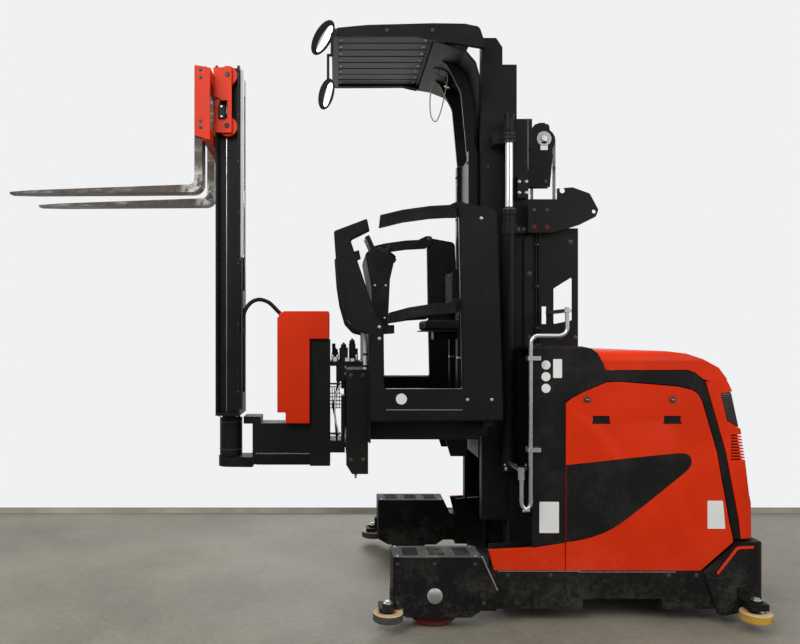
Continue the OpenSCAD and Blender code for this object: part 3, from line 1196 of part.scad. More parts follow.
// the two forks with rounded heels and hooks over the carriage's bars
module forks() {
    z = fork_z;
    tip = shank_x - fork_len;
    heel = 70;
    back = shank_x + fork_t;
    outline = rounded([[tip, z - 8, 4], [back, z, heel], [back, z + shank_h, 6], [shank_x, z + shank_h, 6],
        [shank_x, z + fork_t, heel - 34], [tip, z - 8 + fork_tip_t, 4]]);
    plan = rounded([[tip, -fork_w / 2 + 26, 14], [tip + 160, -fork_w / 2, 60], [back + 2, -fork_w / 2, 0], [back + 2, fork_w / 2, 0],
        [tip + 160, fork_w / 2, 60], [tip, fork_w / 2 - 26, 14]]);
    color(black) for (side = [LEFT, RIGHT]) translate([0, side * fork_spread / 2, 0]) union() {
        intersection() {
            side_plate(outline, -fork_w / 2, fork_w);
            flat_plate(plan, z - 100, shank_h + 200);
        }
        block([back - 1, -fork_w / 2 + 8, z + 800 + seat_gap], [back + 30, fork_w / 2 - 8, z + shank_h - 1]);
    }
}

// tube swept along a list of points, as one closed surface
module tube(route, r, sides) {
    n = len(route);
    function heading(i) = unit(route[min(i + 1, n - 1)] - route[max(i - 1, 0)]);
    rings = [for (i = [0:n - 1])
        let (t = heading(i))
        let (u = unit(cross(t, [0.31, 0.95, 0.05])))
        let (v = cross(t, u))
        [for (k = [0:sides - 1]) route[i] + r * (cos(360 * k / sides) * u + sin(360 * k / sides) * v)]];
    points = [for (one = rings) for (p = one) p];
    walls = [for (i = [0:n - 2]) for (k = [0:sides - 1])
        [i * sides + k, (i + 1) * sides + k, (i + 1) * sides + (k + 1) % sides, i * sides + (k + 1) % sides]];
    ends = [[for (k = [0:sides - 1]) k], [for (k = [sides - 1:-1:0]) (n - 1) * sides + k]];
    polyhedron(points, concat(walls, ends), convexity = 10);
}

// hose from the red cover to the fitting behind the auxiliary mast
hose_r = 13.5;
hose_y = -60;
hose_end = [-820, -108, 1725];
hose_route = [[-578.6, hose_y, 1824], [-598.6, hose_y, 1844], [-622, -64, 1869], [-648, -69, 1893], [-680, -74, 1909], [-712, -80, 1916],
    [-744, -88, 1910], [-772, -95, 1893], [-796, -101, 1865], [-814, -106, 1828], [-820, -108, 1782], hose_end + [0, 0, seat_gap]];

module swivel_hose() {
    color(black) tube(hose_route, hose_r, 10);
}

// rope loop hanging from the guard's vault
rope_r = 4;
rope_route = [[561, -20, 3454], [557, -24, 3400], [545, -30, 3340], [530, -34, 3270], [512, -36, 3200], [494, -36, 3150], [476, -34, 3128],
    [458, -30, 3140], [444, -26, 3180], [440, -20, 3250], [446, -14, 3330], [462, -10, 3390], [484, -8, 3440], [498, -8, 3478]];

module rope_loop() {
    color("tan") tube(rope_route, rope_r, 8);
}

base_frame();
bulkhead();
load_arms();
arm_covers();
load_axles();
guide_brackets();
rear_bumpers();
sill_fairings();
side_trim();
hood();
rear_cover();
rear_lamps();
battery();
door(LEFT);  // door_left
door(RIGHT);  // door_right
load_wheel(LEFT);  // load_wheel_left
load_wheel(RIGHT);  // load_wheel_right
drive_unit();
drive_wheel();
guide_roller(axle_x - guide_front, LEFT);  // guide_front_left
guide_roller(axle_x - guide_front, RIGHT);  // guide_front_right
guide_roller(drive_x + guide_rear, LEFT);  // guide_rear_left
guide_roller(drive_x + guide_rear, RIGHT);  // guide_rear_right
outer_mast();
mast_support();
lift_barrels();
steel_pipe();
chain_pulley();
lift_chain();
inner_mast();
lift_rods();
mast_carriage();
cab_floor();
cab_side(LEFT);  // cab_side_left
cab_side(RIGHT);  // cab_side_right
cab_front_wall();
cab_tower();
guard_roof();
guard_vault();
guard_lamp();
console();
seat();
mirrors();
gate_bar(LEFT, 0, 452, gate_bar_h);  // gate_upper_left
gate_bar(LEFT, lower_drop, 402, lower_bar_h);  // gate_lower_left
gate_bar(RIGHT, 0, 452, gate_bar_h);  // gate_upper_right
gate_bar(RIGHT, lower_drop, 402, lower_bar_h);  // gate_lower_right
traverse_frame();
head_frame();
motor_cover();
swivel_base();
aux_mast();
aux_cylinder();
fork_carriage();
forks();
swivel_hose();
rope_loop();
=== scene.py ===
import json
import logging
import math
from dataclasses import dataclass, field
from enum import Enum
from typing import Callable, Iterable, Optional, Sequence, Union

import bmesh
import bpy
import numpy as np
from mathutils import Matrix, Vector


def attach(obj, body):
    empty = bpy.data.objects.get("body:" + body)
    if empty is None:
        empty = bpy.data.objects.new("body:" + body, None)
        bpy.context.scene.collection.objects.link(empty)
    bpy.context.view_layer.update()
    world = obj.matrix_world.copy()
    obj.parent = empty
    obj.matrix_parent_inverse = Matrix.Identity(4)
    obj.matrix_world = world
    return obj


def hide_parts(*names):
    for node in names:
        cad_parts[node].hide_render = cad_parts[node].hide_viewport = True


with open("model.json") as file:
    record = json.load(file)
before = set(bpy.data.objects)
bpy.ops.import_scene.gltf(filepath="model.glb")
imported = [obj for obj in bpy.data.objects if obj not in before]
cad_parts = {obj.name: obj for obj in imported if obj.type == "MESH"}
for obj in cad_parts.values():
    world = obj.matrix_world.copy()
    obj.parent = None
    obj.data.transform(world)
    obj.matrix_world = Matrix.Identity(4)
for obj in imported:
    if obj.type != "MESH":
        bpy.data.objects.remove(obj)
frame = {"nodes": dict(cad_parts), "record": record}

LOG = logging.getLogger("order_picker")
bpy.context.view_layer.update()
Triple = Sequence[float]
Number = Union[int, float]


def linear(red: float, green: float, blue: float) -> tuple[float, float, float, float]:
    """Turns a colour as a screen shows it into the linear colour that a shader takes.

    Args:
        red, green, blue: parts from 0 to 255.

    Returns:
        Linear red, green and blue with an opacity of 1.
    """
    parts = []
    for part in (red, green, blue):
        share = part / 255.0
        parts.append(share / 12.92 if share <= 0.04045 else ((share + 0.055) / 1.055) ** 2.4)
    return (parts[0], parts[1], parts[2], 1.0)


def shade(colour: Sequence[float], share: float, lift: float = 0.0) -> tuple[float, float, float, float]:
    """A colour times a share and lifted by an amount, with no part over 1."""
    parts = [min(1.0, part * share + lift) for part in colour[:3]]
    return (parts[0], parts[1], parts[2], 1.0)


class Value:
    """A shader socket that takes part in Python arithmetic, each operation adding a Math node."""

    def __init__(self, graph: "Graph", socket: bpy.types.NodeSocket) -> None:
        """Keeps the socket and the graph that it is in."""
        self.graph = graph
        self.socket = socket

    def _math(self, operation: str, *others: Union["Value", Number], clamp: bool = False) -> "Value":
        """Adds one Math node over this value and the others."""
        values = {index + 1: other for index, other in enumerate(others)}
        return self.graph.node("ShaderNodeMath", {"operation": operation, "use_clamp": clamp},
                               {0: self, **values})

    def __add__(self, other: Union["Value", Number]) -> "Value":
        """Sum."""
        return self._math("ADD", other)

    __radd__ = __add__

    def __sub__(self, other: Union["Value", Number]) -> "Value":
        """Difference."""
        return self._math("SUBTRACT", other)

    def __rsub__(self, other: Number) -> "Value":
        """A number less this value."""
        return self.graph.node("ShaderNodeMath", {"operation": "SUBTRACT"}, {0: other, 1: self})

    def __mul__(self, other: Union["Value", Number]) -> "Value":
        """Product."""
        return self._math("MULTIPLY", other)

    __rmul__ = __mul__

    def __truediv__(self, other: Union["Value", Number]) -> "Value":
        """Quotient."""
        return self._math("DIVIDE", other)

    def __pow__(self, other: Number) -> "Value":
        """Power."""
        return self._math("POWER", other)

    def clamped(self) -> "Value":
        """The value held between 0 and 1."""
        return self._math("ADD", 0.0, clamp=True)

    def sine(self) -> "Value":
        """Sine of the value."""
        return self._math("SINE")

    def absolute(self) -> "Value":
        """The value without its sign."""
        return self._math("ABSOLUTE")

    def highest(self, other: Union["Value", Number]) -> "Value":
        """The higher of two values."""
        return self._math("MAXIMUM", other)

    def step(self, low: float, high: float, to_low: float = 0.0, to_high: float = 1.0) -> "Value":
        """Smooth step: to_low at or below low, to_high at or above high.

        Args:
            low, high: values between which the step lies.
            to_low, to_high: what the step gives at its two ends.

        Returns:
            The stepped value.
        """
        return self.graph.node("ShaderNodeMapRange", {"interpolation_type": "SMOOTHSTEP"}, {
            "Value": self, "From Min": low, "From Max": high, "To Min": to_low, "To Max": to_high})


class Graph:
    """The node tree of one material."""

    def __init__(self, name: str) -> None:
        """Makes the material with an empty tree and its output."""
        self.material = bpy.data.materials.new(name)
        self.material.use_nodes = True
        self.tree = self.material.node_tree
        self.tree.nodes.clear()
        self.output = self.tree.nodes.new("ShaderNodeOutputMaterial")

    def link(self, source: object, target: bpy.types.NodeSocket) -> None:
        """Links a value or socket, or sets a number or colour.

        Args:
            source: a Value, a socket, a number, or a colour or vector.
            target: the socket that takes it.
        """
        if isinstance(source, Value):
            self.tree.links.new(source.socket, target)
        elif isinstance(source, bpy.types.NodeSocket):
            self.tree.links.new(source, target)
        else:
            target.default_value = source

    def node(self, kind: str, settings: Optional[dict] = None, inputs: Optional[dict] = None,
             output: Union[int, str] = 0) -> Value:
        """Adds any node: its settings first, then its sockets' values or links.

        Args:
            kind: the node's type.
            settings: attributes of the node, with "stops" for a ramp's colours.
            inputs: socket names or numbers with what each one takes.
            output: the output socket wanted.

        Returns:
            That output as a Value.
        """
        node = self.tree.nodes.new(kind)
        for key, value in (settings or {}).items():
            if key == "stops":
                while len(node.color_ramp.elements) < len(value):
                    node.color_ramp.elements.new(1.0)
                for element, (place, colour) in zip(node.color_ramp.elements, value):
                    element.position = place
                    element.color = colour
            else:
                setattr(node, key, value)
        for key, value in (inputs or {}).items():
            self.link(value, node.inputs[key])
        return Value(self, node.outputs[output])

    def place(self) -> Value:
        """Object coordinates."""
        return self.node("ShaderNodeTexCoord", output="Object")

    def axes(self) -> tuple[Value, Value, Value]:
        """Object coordinates as three separate values."""
        parts = self.node("ShaderNodeSeparateXYZ", {}, {0: self.place()})
        node = parts.socket.node
        return tuple(Value(self, node.outputs[index]) for index in range(3))

    def noise(self, scale: float, detail: float = 3.0, rough: float = 0.55, stretch: Triple = (1, 1, 1),
              shift: Triple = (0, 0, 0)) -> Value:
        """Fractal noise over object coordinates.

        Args:
            scale: lumps a metre.
            detail, rough: octaves and how strong the small ones are.
            stretch: scale along each axis.
            shift: offset of the pattern.

        Returns:
            Noise of about 0.3 to 0.7.
        """
        mapped = self.node("ShaderNodeMapping", {}, {"Vector": self.place(), "Scale": stretch,
                                                     "Location": shift})
        return self.node("ShaderNodeTexNoise", {}, {
            "Vector": mapped, "Scale": scale, "Detail": detail, "Roughness": rough})

    def cells(self, scale: float, feature: str = "F1", stretch: Triple = (1, 1, 1)) -> Value:
        """Distance in a field of cells.

        Args:
            scale: cells a metre.
            feature: which distance.
            stretch: scale along each axis.

        Returns:
            The distance.
        """
        mapped = self.node("ShaderNodeMapping", {}, {"Vector": self.place(), "Scale": stretch})
        return self.node("ShaderNodeTexVoronoi", {"feature": feature}, {"Vector": mapped, "Scale": scale},
                         output="Distance")

    def mix(self, share: object, first: object, second: object) -> Value:
        """Mixes two colours by a share."""
        node = self.tree.nodes.new("ShaderNodeMix")
        node.data_type = "RGBA"
        self.link(share, node.inputs[0])
        self.link(first, node.inputs[6])
        self.link(second, node.inputs[7])
        return Value(self, node.outputs[2])

    def bump(self, height: Value, distance: float, strength: float = 1.0) -> Value:
        """Bump normal from a height, whose full swing is the distance in metres."""
        return self.node("ShaderNodeBump", {}, {"Height": height, "Distance": distance, "Strength": strength})

    def surface(self, **sockets: object) -> bpy.types.Material:
        """Ends the material with a Principled shader.

        Args:
            sockets: its inputs, with _ for a space in a name.

        Returns:
            The material.
        """
        shader = self.tree.nodes.new("ShaderNodeBsdfPrincipled")
        for key, value in sockets.items():
            self.link(value, shader.inputs[key.replace("_", " ")])
        self.tree.links.new(shader.outputs[0], self.output.inputs[0])
        return self.material


@dataclass(frozen=True)
class Paint:
    """Sprayed paint over sheet or plate, with orange peel, dust, scuffs and rubbed spots."""

    name: str
    colour: tuple
    rough: float
    peel: float = 0.00004
    peel_scale: float = 260.0
    dust: float = 0.25
    dust_colour: tuple = linear(150, 142, 128)
    scuff_colour: tuple = linear(120, 118, 116)
    scuffs: float = 0.35
    coat: float = 0.0

    def build(self) -> bpy.types.Material:
        """Builds the paint.

        Base colour: the paint, varied a little by broad noise, then dust where a low, broad noise and the
        height near the floor meet, then thin scuffs where stretched noise peaks.

        Returns:
            The material.
        """
        g = Graph(self.name)
        broad = g.noise(2.3, 4.0)
        fine = g.noise(38.0, 5.0, 0.65)
        height = g.axes()[2]
        low = height.step(0.05, 0.55, 1.0, 0.12)
        dust = ((broad * 0.6 + fine * 0.55).step(0.5, 0.78) * low * self.dust).clamped()
        streak = g.noise(9.0, 6.0, 0.7, (1.0, 1.0, 6.0))
        scuff = (streak.step(0.66, 0.74) * fine.step(0.48, 0.62) * self.scuffs * 0.7).clamped()
        deep = shade(self.colour, 0.86)
        body = g.mix(broad.step(0.35, 0.7), deep, self.colour)
        dusty = g.mix(dust, body, self.dust_colour)
        worn = g.mix(scuff, dusty, self.scuff_colour)
        rough = (dust * 0.4 + scuff * 0.2 + self.rough + (fine - 0.5) * 0.12 + (broad - 0.5) * 0.1).clamped()
        peel = g.noise(self.peel_scale, 2.0, 0.4)
        normal = g.bump(peel * 0.8 + streak * 0.2, self.peel)
        return g.surface(Base_Color=worn, Roughness=rough, Normal=normal, Coat_Weight=self.coat,
                         Coat_Roughness=0.12, Specular_IOR_Level=0.1)


@dataclass(frozen=True)
class Metal:
    """Bare metal: chromed, zinc plated, brushed, cast or oiled."""

    name: str
    colour: tuple
    rough: float
    metallic: float = 1.0
    stain: tuple = linear(70, 62, 52)
    stained: float = 0.25
    grain: Triple = (1.0, 1.0, 1.0)
    grain_scale: float = 60.0
    depth: float = 0.00003

    def build(self) -> bpy.types.Material:
        """Builds the metal.

        Base colour: the metal mixed with its stain where two noises peak together. Roughness rises with the
        stain, and the bump follows the grain, noise stretched along the way the piece was drawn or ground.

        Returns:
            The material.
        """
        g = Graph(self.name)
        broad = g.noise(6.0, 5.0, 0.6)
        grain = g.noise(self.grain_scale, 4.0, 0.6, self.grain)
        stain = ((broad + grain * 0.6).step(0.78, 1.02) * self.stained * 2.0).clamped()
        light = shade(self.colour, 1.12)
        body = g.mix(grain.step(0.3, 0.7), self.colour, light)
        colour = g.mix(stain, body, self.stain)
        rough = (stain * 0.3 + self.rough + (grain - 0.5) * 0.2).clamped()
        metallic = (self.metallic - stain * 0.6 * self.metallic).clamped()
        return g.surface(Base_Color=colour, Roughness=rough, Metallic=metallic,
                         Normal=g.bump(grain, self.depth))


@dataclass(frozen=True)
class Moulded:
    """Moulded plastic, rubber or polyurethane with a fine grain and scuffs."""

    name: str
    colour: tuple
    rough: float
    grain_scale: float = 900.0
    depth: float = 0.00006
    soil: tuple = linear(105, 100, 92)
    soiled: float = 0.3
    soil_height: float = 0.5

    def build(self) -> bpy.types.Material:
        """Builds the plastic.

        Base colour: the plastic, soiled where broad and fine noise peak together, more near the floor. The
        bump is a leather-like grain of small cells.

        Returns:
            The material.
        """
        g = Graph(self.name)
        broad = g.noise(5.0, 5.0, 0.6)
        fine = g.noise(70.0, 4.0, 0.6)
        low = g.axes()[2].step(0.0, self.soil_height, 1.0, 0.25)
        soil = ((broad + fine * 0.5).step(0.68, 0.95) * low * self.soiled * 2.0).clamped()
        colour = g.mix(soil, self.colour, self.soil)
        grain = g.cells(self.grain_scale)
        rough = (soil * 0.3 + self.rough + (fine - 0.5) * 0.14).clamped()
        return g.surface(Base_Color=colour, Roughness=rough, Specular_IOR_Level=0.1,
                         Normal=g.bump(grain, self.depth))


@dataclass(frozen=True)
class ForkSteel:
    """Forged blade: dark scale, rubbed bright along the top and pale at the heel."""

    name: str
    heel_x: float
    tip_x: float
    top_z: float

    def build(self) -> bpy.types.Material:
        """Builds the forged steel.

        Bare metal shows where noise stretched along the blade peaks, more towards the tip, and a whitish
        patch lies where the blade turns up at its heel.

        Returns:
            The material.
        """
        g = Graph(self.name)
        x, _, z = g.axes()
        scale = g.noise(26.0, 6.0, 0.65)
        rub = g.noise(16.0, 6.0, 0.7, (0.25, 2.4, 1.0))
        length = x.step(self.tip_x, self.heel_x, 1.0, 0.2)
        bare = ((rub + length * 0.12).step(0.55, 0.72) * 0.7).clamped()
        heel = x.step(self.heel_x - 0.12, self.heel_x - 0.02) * z.step(self.top_z + 0.16, self.top_z + 0.05)
        worn = (heel * scale.step(0.4, 0.56) * 0.75).clamped()
        dark = g.mix(scale.step(0.35, 0.65), linear(52, 45, 40), linear(80, 68, 58))
        rubbed = g.mix(bare, dark, linear(128, 122, 116))
        colour = g.mix(worn, rubbed, linear(205, 203, 198))
        rough = (0.62 - bare * 0.22 + (scale - 0.5) * 0.2 + worn * 0.1).clamped()
        metallic = (bare * 0.75 + 0.15 - worn * 0.1).clamped()
        return g.surface(Base_Color=colour, Roughness=rough, Metallic=metallic,
                         Normal=g.bump(scale + rub * 0.5, 0.0004))


@dataclass(frozen=True)
class Woven:
    """Upholstery cloth: two crossed rows of threads."""

    name: str
    colour: tuple
    thread: float = 0.0016

    def build(self) -> bpy.types.Material:
        """Builds the cloth.

        The weave's height is the product of two rows of threads, |sin| along one way times |sin| along the
        other, and the colour is darkened between the threads as painted shade in the weave's hollows.

        Returns:
            The material.
        """
        g = Graph(self.name)
        x, y, z = g.axes()
        rate = math.pi / self.thread
        along = (y * rate).sine().absolute()
        across = ((x + z) * rate).sine().absolute()
        weave = along * across
        fuzz = g.noise(240.0, 3.0)
        wear = g.noise(7.0, 4.0).step(0.45, 0.75)
        # painted shade: a darker copy of the cloth's colour, laid between the threads where the weave is low
        dark = shade(self.colour, 0.45)
        pale = shade(self.colour, 1.7, 0.01)
        threads = g.mix(weave.step(0.05, 0.6), dark, self.colour)
        colour = g.mix(wear * 0.35, threads, pale)
        return g.surface(Base_Color=colour, Roughness=(0.78 + (fuzz - 0.5) * 0.25).clamped(),
                         Specular_IOR_Level=0.1, Normal=g.bump(weave + fuzz * 0.3, 0.0005))


@dataclass(frozen=True)
class Lens:
    """Lamp glass, mirror glass or a dark display."""

    name: str
    colour: tuple
    rough: float = 0.06
    metallic: float = 0.0
    ribs: float = 0.0
    coat: float = 1.0

    def build(self) -> bpy.types.Material:
        """Builds the glass: a deep colour under a clear coat, with fine ribs where it has them.

        Returns:
            The material.
        """
        g = Graph(self.name)
        haze = g.noise(14.0, 5.0, 0.6)
        z = g.axes()[2]
        ridge = (z * (math.tau / 0.012)).sine() * self.ribs + haze * 0.04
        light = shade(self.colour, 1.5, 0.004)
        colour = g.mix(haze.step(0.42, 0.7), self.colour, light)
        rough = (haze.step(0.5, 0.8) * 0.12 + self.rough).clamped()
        return g.surface(Base_Color=colour, Roughness=rough, Metallic=self.metallic, Coat_Weight=self.coat,
                         Coat_Roughness=0.03, Normal=g.bump(ridge, 0.0004))


@dataclass(frozen=True)
class Braid:
    """Braided rope: strands that cross on a bias, read from the piece's own coordinates along it."""

    name: str
    colour: tuple

    def build(self) -> bpy.types.Material:
        """Builds the rope from the two crossing sine rows of its UV map, with painted shade between the
        strands.
        """
        g = Graph(self.name)
        uv = g.node("ShaderNodeUVMap", {"uv_map": "along"})
        parts = g.node("ShaderNodeSeparateXYZ", {}, {0: uv}).socket.node
        u = Value(g, parts.outputs[0])
        v = Value(g, parts.outputs[1])
        first = (u * 900.0 + v * math.tau * 2).sine()
        second = (u * 900.0 - v * math.tau * 2).sine()
        strands = (first * second + 1.0) * 0.5
        # painted shade: a darker copy of the rope's colour, laid in the grooves between the strands
        dark = shade(self.colour, 0.4)
        fuzz = g.noise(300.0, 3.0)
        colour = g.mix((strands * 0.8 + fuzz * 0.3).clamped(), dark, self.colour)
        return g.surface(Base_Color=colour, Roughness=0.85, Normal=g.bump(strands + fuzz * 0.2, 0.0008))


class Finish(Enum):
    """Every finish on the truck, by the plain name of what it is."""

    RED = Paint("orange red paint", linear(213, 47, 6), 0.42, 0.00003, 240.0, 0.14, coat=0.04)
    CHARCOAL = Paint("charcoal powder coat", linear(21, 21, 20), 0.46, 0.00006, 420.0, 0.12)
    # partly painted light: a lighter brown grey for the slat undersides, partly their own colour and partly
    # the light that falls on them
    SLAT = Paint("brown grey slat paint with painted light", linear(62, 60, 53), 0.4, 0.00004, 300.0, 0.1)
    BLACK = Paint("black satin paint", linear(16, 16, 16), 0.38, 0.00005, 380.0, 0.25)
    PANEL = Moulded("black moulded panel", linear(19, 19, 19), 0.5, 700.0, 0.00005, soiled=0.15)
    GREY = Paint("light grey paint", linear(196, 197, 198), 0.4, 0.00004, 300.0, 0.3)
    BLANK = Paint("white blank plate", linear(226, 226, 224), 0.38, 0.00002, 300.0, 0.15, scuffs=0.1)
    COVER_TOP = Moulded("worn cover top", linear(70, 69, 69), 0.62, 900.0, 0.00012, linear(140, 134, 124),
                        0.45, 0.8)
    GRIP = Moulded("anti-slip strip", linear(40, 40, 40), 0.9, 1600.0, 0.0006, linear(120, 114, 104), 0.5,
                   0.9)
    CAST = Metal("cast grey iron", linear(110, 110, 112), 0.62, 0.35, linear(60, 52, 44), 0.35,
                 grain_scale=180.0, depth=0.0003)
    IRON = Metal("oiled dark steel", linear(62, 58, 54), 0.5, 0.6, linear(34, 28, 24), 0.4, depth=0.0001)
    CHROME = Metal("hard chrome", linear(214, 214, 218), 0.09, 1.0, linear(120, 116, 112), 0.06,
                   (1.0, 1.0, 0.05), 90.0, 0.00001)
    ZINC = Metal("zinc plated steel", linear(178, 179, 182), 0.3, 0.95, linear(104, 98, 90), 0.2)
    RAIL = Metal("rubbed running track", linear(150, 150, 152), 0.24, 1.0, linear(60, 54, 48), 0.3,
                 (1.0, 1.0, 0.04), 60.0)
    CHAIN = Metal("oiled chain steel", linear(92, 88, 82), 0.38, 0.85, linear(30, 26, 22), 0.6)
    BRASS = Metal("brass fitting", linear(158, 132, 82), 0.34, 0.95, linear(80, 60, 36), 0.3)
    RED_TREAD = Moulded("dark red tread", linear(92, 34, 28), 0.6, 300.0, 0.0001, linear(64, 56, 50), 0.6)
    BLACK_TREAD = Moulded("black tread", linear(32, 31, 30), 0.7, 300.0, 0.0001, linear(96, 90, 82), 0.5)
    CREAM = Moulded("cream roller", linear(196, 168, 128), 0.5, 200.0, 0.00004, linear(110, 96, 74), 0.2)
    YELLOW_TREAD = Moulded("yellow roller tread", linear(188, 150, 62), 0.55, 300.0, 0.0001,
                           linear(96, 84, 58), 0.4)
    GREY_TREAD = Moulded("grey roller tread", linear(66, 66, 64), 0.6, 300.0, 0.0001, linear(96, 90, 82), 0.4)
    WHITE_PART = Moulded("white connector", linear(214, 214, 208), 0.5, 500.0, 0.00004, soiled=0.15)
    RUBBER = Moulded("hose rubber", linear(26, 26, 26), 0.58, 1200.0, 0.00008, linear(90, 86, 80), 0.2)
    SMOKED = Lens("smoked lamp glass", linear(24, 10, 12), 0.05, 0.0, 0.6)
    DISPLAY = Lens("display glass", linear(16, 20, 24), 0.08)
    MIRROR = Lens("mirror glass", linear(190, 193, 197), 0.03, 1.0, 0.0, 0.0)
    LAMP = Lens("clear lamp", linear(186, 190, 192), 0.08, 0.2, 0.5)
    CLOTH = Woven("black upholstery", linear(24, 24, 25))
    FORK = ForkSteel("forged blade", -1.112, -2.317, 2.64)
    ROPE = Braid("braided rope", linear(196, 176, 138))

    def material(self) -> bpy.types.Material:
        """The built material, made once."""
        found = bpy.data.materials.get(self.value.name)
        return found if found else self.value.build()


# the two sides of the truck: the sign of y and the word in the names of pieces
SIDES = ((-1, "left"), (1, "right"))


def body_of(node: str) -> str:
    """Name of the body that carries a CAD node."""
    for body, nodes in frame["record"]["behaviour"]["bodies"].items():
        if node in nodes:
            return body
    return "chassis"


def new_object(name: str, data: bpy.types.ID) -> bpy.types.Object:
    """Adds an object with its data to the scene."""
    made = bpy.data.objects.new(name, data)
    bpy.context.scene.collection.objects.link(made)
    return made


def round_edges(piece: bpy.types.Object, width: float) -> None:
    """Rounds a piece's edges by a width, with two faces across each."""
    bevel = piece.modifiers.new("edges", "BEVEL")
    bevel.width = width
    bevel.segments = 2
    bevel.limit_method = "ANGLE"
    bevel.angle_limit = math.radians(40)
    bevel.harden_normals = True


def span(sign: int, near: float, far: float) -> list[float]:
    """Two distances from the centre plane as places on one side of the truck, lowest first."""
    return sorted((sign * near, sign * far))


def add_piece(name: str, points: np.ndarray, faces: Sequence[Sequence[int]], body: str, finish: Finish,
              edge: float = 0.0, rounded: float = 35.0) -> bpy.types.Object:
    """Makes a piece from points and faces, dresses it and lets it ride on its body.

    Args:
        name: the piece's name.
        points: its points, one row each, in metres.
        faces: its faces as indices.
        body: the CAD body that it moves with.
        finish: what it is finished in.
        edge: width of the rounding on its edges, none at 0.
        rounded: angle in degrees below which edges are smooth.

    Returns:
        The object.
    """
    mesh = bpy.data.meshes.new(name)
    mesh.from_pydata(np.asarray(points, dtype=float).tolist(), [], [list(face) for face in faces])
    mesh.validate()
    work = bmesh.new()
    work.from_mesh(mesh)
    bmesh.ops.remove_doubles(work, verts=work.verts, dist=0.000005)
    bmesh.ops.recalc_face_normals(work, faces=work.faces)
    work.to_mesh(mesh)
    work.free()
    mesh.materials.append(finish.material())
    mesh.shade_smooth()
    mesh.set_sharp_from_angle(angle=math.radians(rounded))
    piece = new_object(name, mesh)
    if edge > 0:
        round_edges(piece, edge)
    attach(piece, body)
    LOG.info("made %s on %s", name, body)
    return piece


def grid_faces(rows: int, columns: int, wrap_rows: bool, wrap_columns: bool) -> np.ndarray:
    """Four-sided faces over a grid of points.

    Face (i, j) joins points (i, j), (i + 1, j), (i + 1, j + 1) and (i, j + 1), with i and j taken round where
    the grid wraps.

    Args:
        rows, columns: size of the grid.
        wrap_rows, wrap_columns: whether it closes on itself each way.

    Returns:
        The faces, one row each.
    """
    i, j = np.meshgrid(np.arange(rows if wrap_rows else rows - 1),
                       np.arange(columns if wrap_columns else columns - 1), indexing="ij")
    after_i = (i + 1) % rows
    after_j = (j + 1) % columns
    corners = [i * columns + j, after_i * columns + j, after_i * columns + after_j, i * columns + after_j]
    return np.stack([corner.ravel() for corner in corners], axis=1)


def frames_along(path: np.ndarray, hint: Triple) -> tuple[np.ndarray, np.ndarray]:
    """Two directions square to a path at each of its points.

    The first is the path's heading crossed with the hint, and the second the heading crossed with the first.

    Args:
        path: points of the path.
        hint: a direction that the path never runs along.

    Returns:
        Both directions, one row a point.
    """
    heading = np.gradient(path, axis=0)
    heading /= np.linalg.norm(heading, axis=1, keepdims=True)
    first = np.cross(heading, np.asarray(hint, dtype=float))
    first /= np.linalg.norm(first, axis=1, keepdims=True)
    return first, np.cross(heading, first)


def smooth_path(points: Sequence[Triple], count: int) -> np.ndarray:
    """Smooth curve through points, at evenly spaced places.

    Each stretch is a Catmull-Rom cubic, 0.5 (2b + (c - a) t + (2a - 5b + 4c - d) t^2
    + (3b - a - 3c + d) t^3), and the curve is then sampled again at equal lengths.

    Args:
        points: the points to pass through.
        count: how many points come back.

    Returns:
        The points of the curve.
    """
    rows = np.asarray(points, dtype=float)
    padded = np.vstack([2 * rows[0] - rows[1], rows, 2 * rows[-1] - rows[-2]])
    t = np.linspace(0, 1, 24, endpoint=False)[None, :, None]
    a, b, c, d = (padded[k:len(padded) - 3 + k][:, None, :] for k in range(4))
    fine = 0.5 * (2 * b + (c - a) * t + (2 * a - 5 * b + 4 * c - d) * t ** 2
                  + (3 * b - a - 3 * c + d) * t ** 3)
    fine = np.vstack([fine.reshape(-1, rows.shape[1]), rows[-1:]])
    travelled = np.concatenate([[0], np.cumsum(np.linalg.norm(np.diff(fine, axis=0), axis=1))])
    places = np.linspace(0, travelled[-1], count)
    return np.stack([np.interp(places, travelled, fine[:, k]) for k in range(rows.shape[1])], axis=1)


def tube(name: str, path: np.ndarray, radius: Union[float, np.ndarray], body: str, finish: Finish,
         sides: int = 20, hint: Triple = (0.31, 0.95, 0.05)) -> bpy.types.Object:
    """Round bar or pipe along a path, closed at both ends.

    Point (i, j) is path(i) + radius(i) (cos t(j) first(i) + sin t(j) second(i)).

    Args:
        name, body, finish: as for any piece.
        path: points of the centre line.
        radius: its radius, or one for each point.
        sides: points round it.
        hint: a direction that the path never runs along.

    Returns:
        The object.
    """
    first, second = frames_along(path, hint)
    turn = np.linspace(0, math.tau, sides, endpoint=False)
    reach = np.broadcast_to(np.asarray(radius, dtype=float), (len(path),))[:, None, None]
    rings = path[:, None, :] + reach * (np.cos(turn)[None, :, None] * first[:, None, :]
                                        + np.sin(turn)[None, :, None] * second[:, None, :])
    faces = grid_faces(len(path), sides, False, True).tolist()
    faces.append(list(range(sides)))
    faces.append([(len(path) - 1) * sides + k for k in range(sides)])
    return add_piece(name, rings.reshape(-1, 3), faces, body, finish)


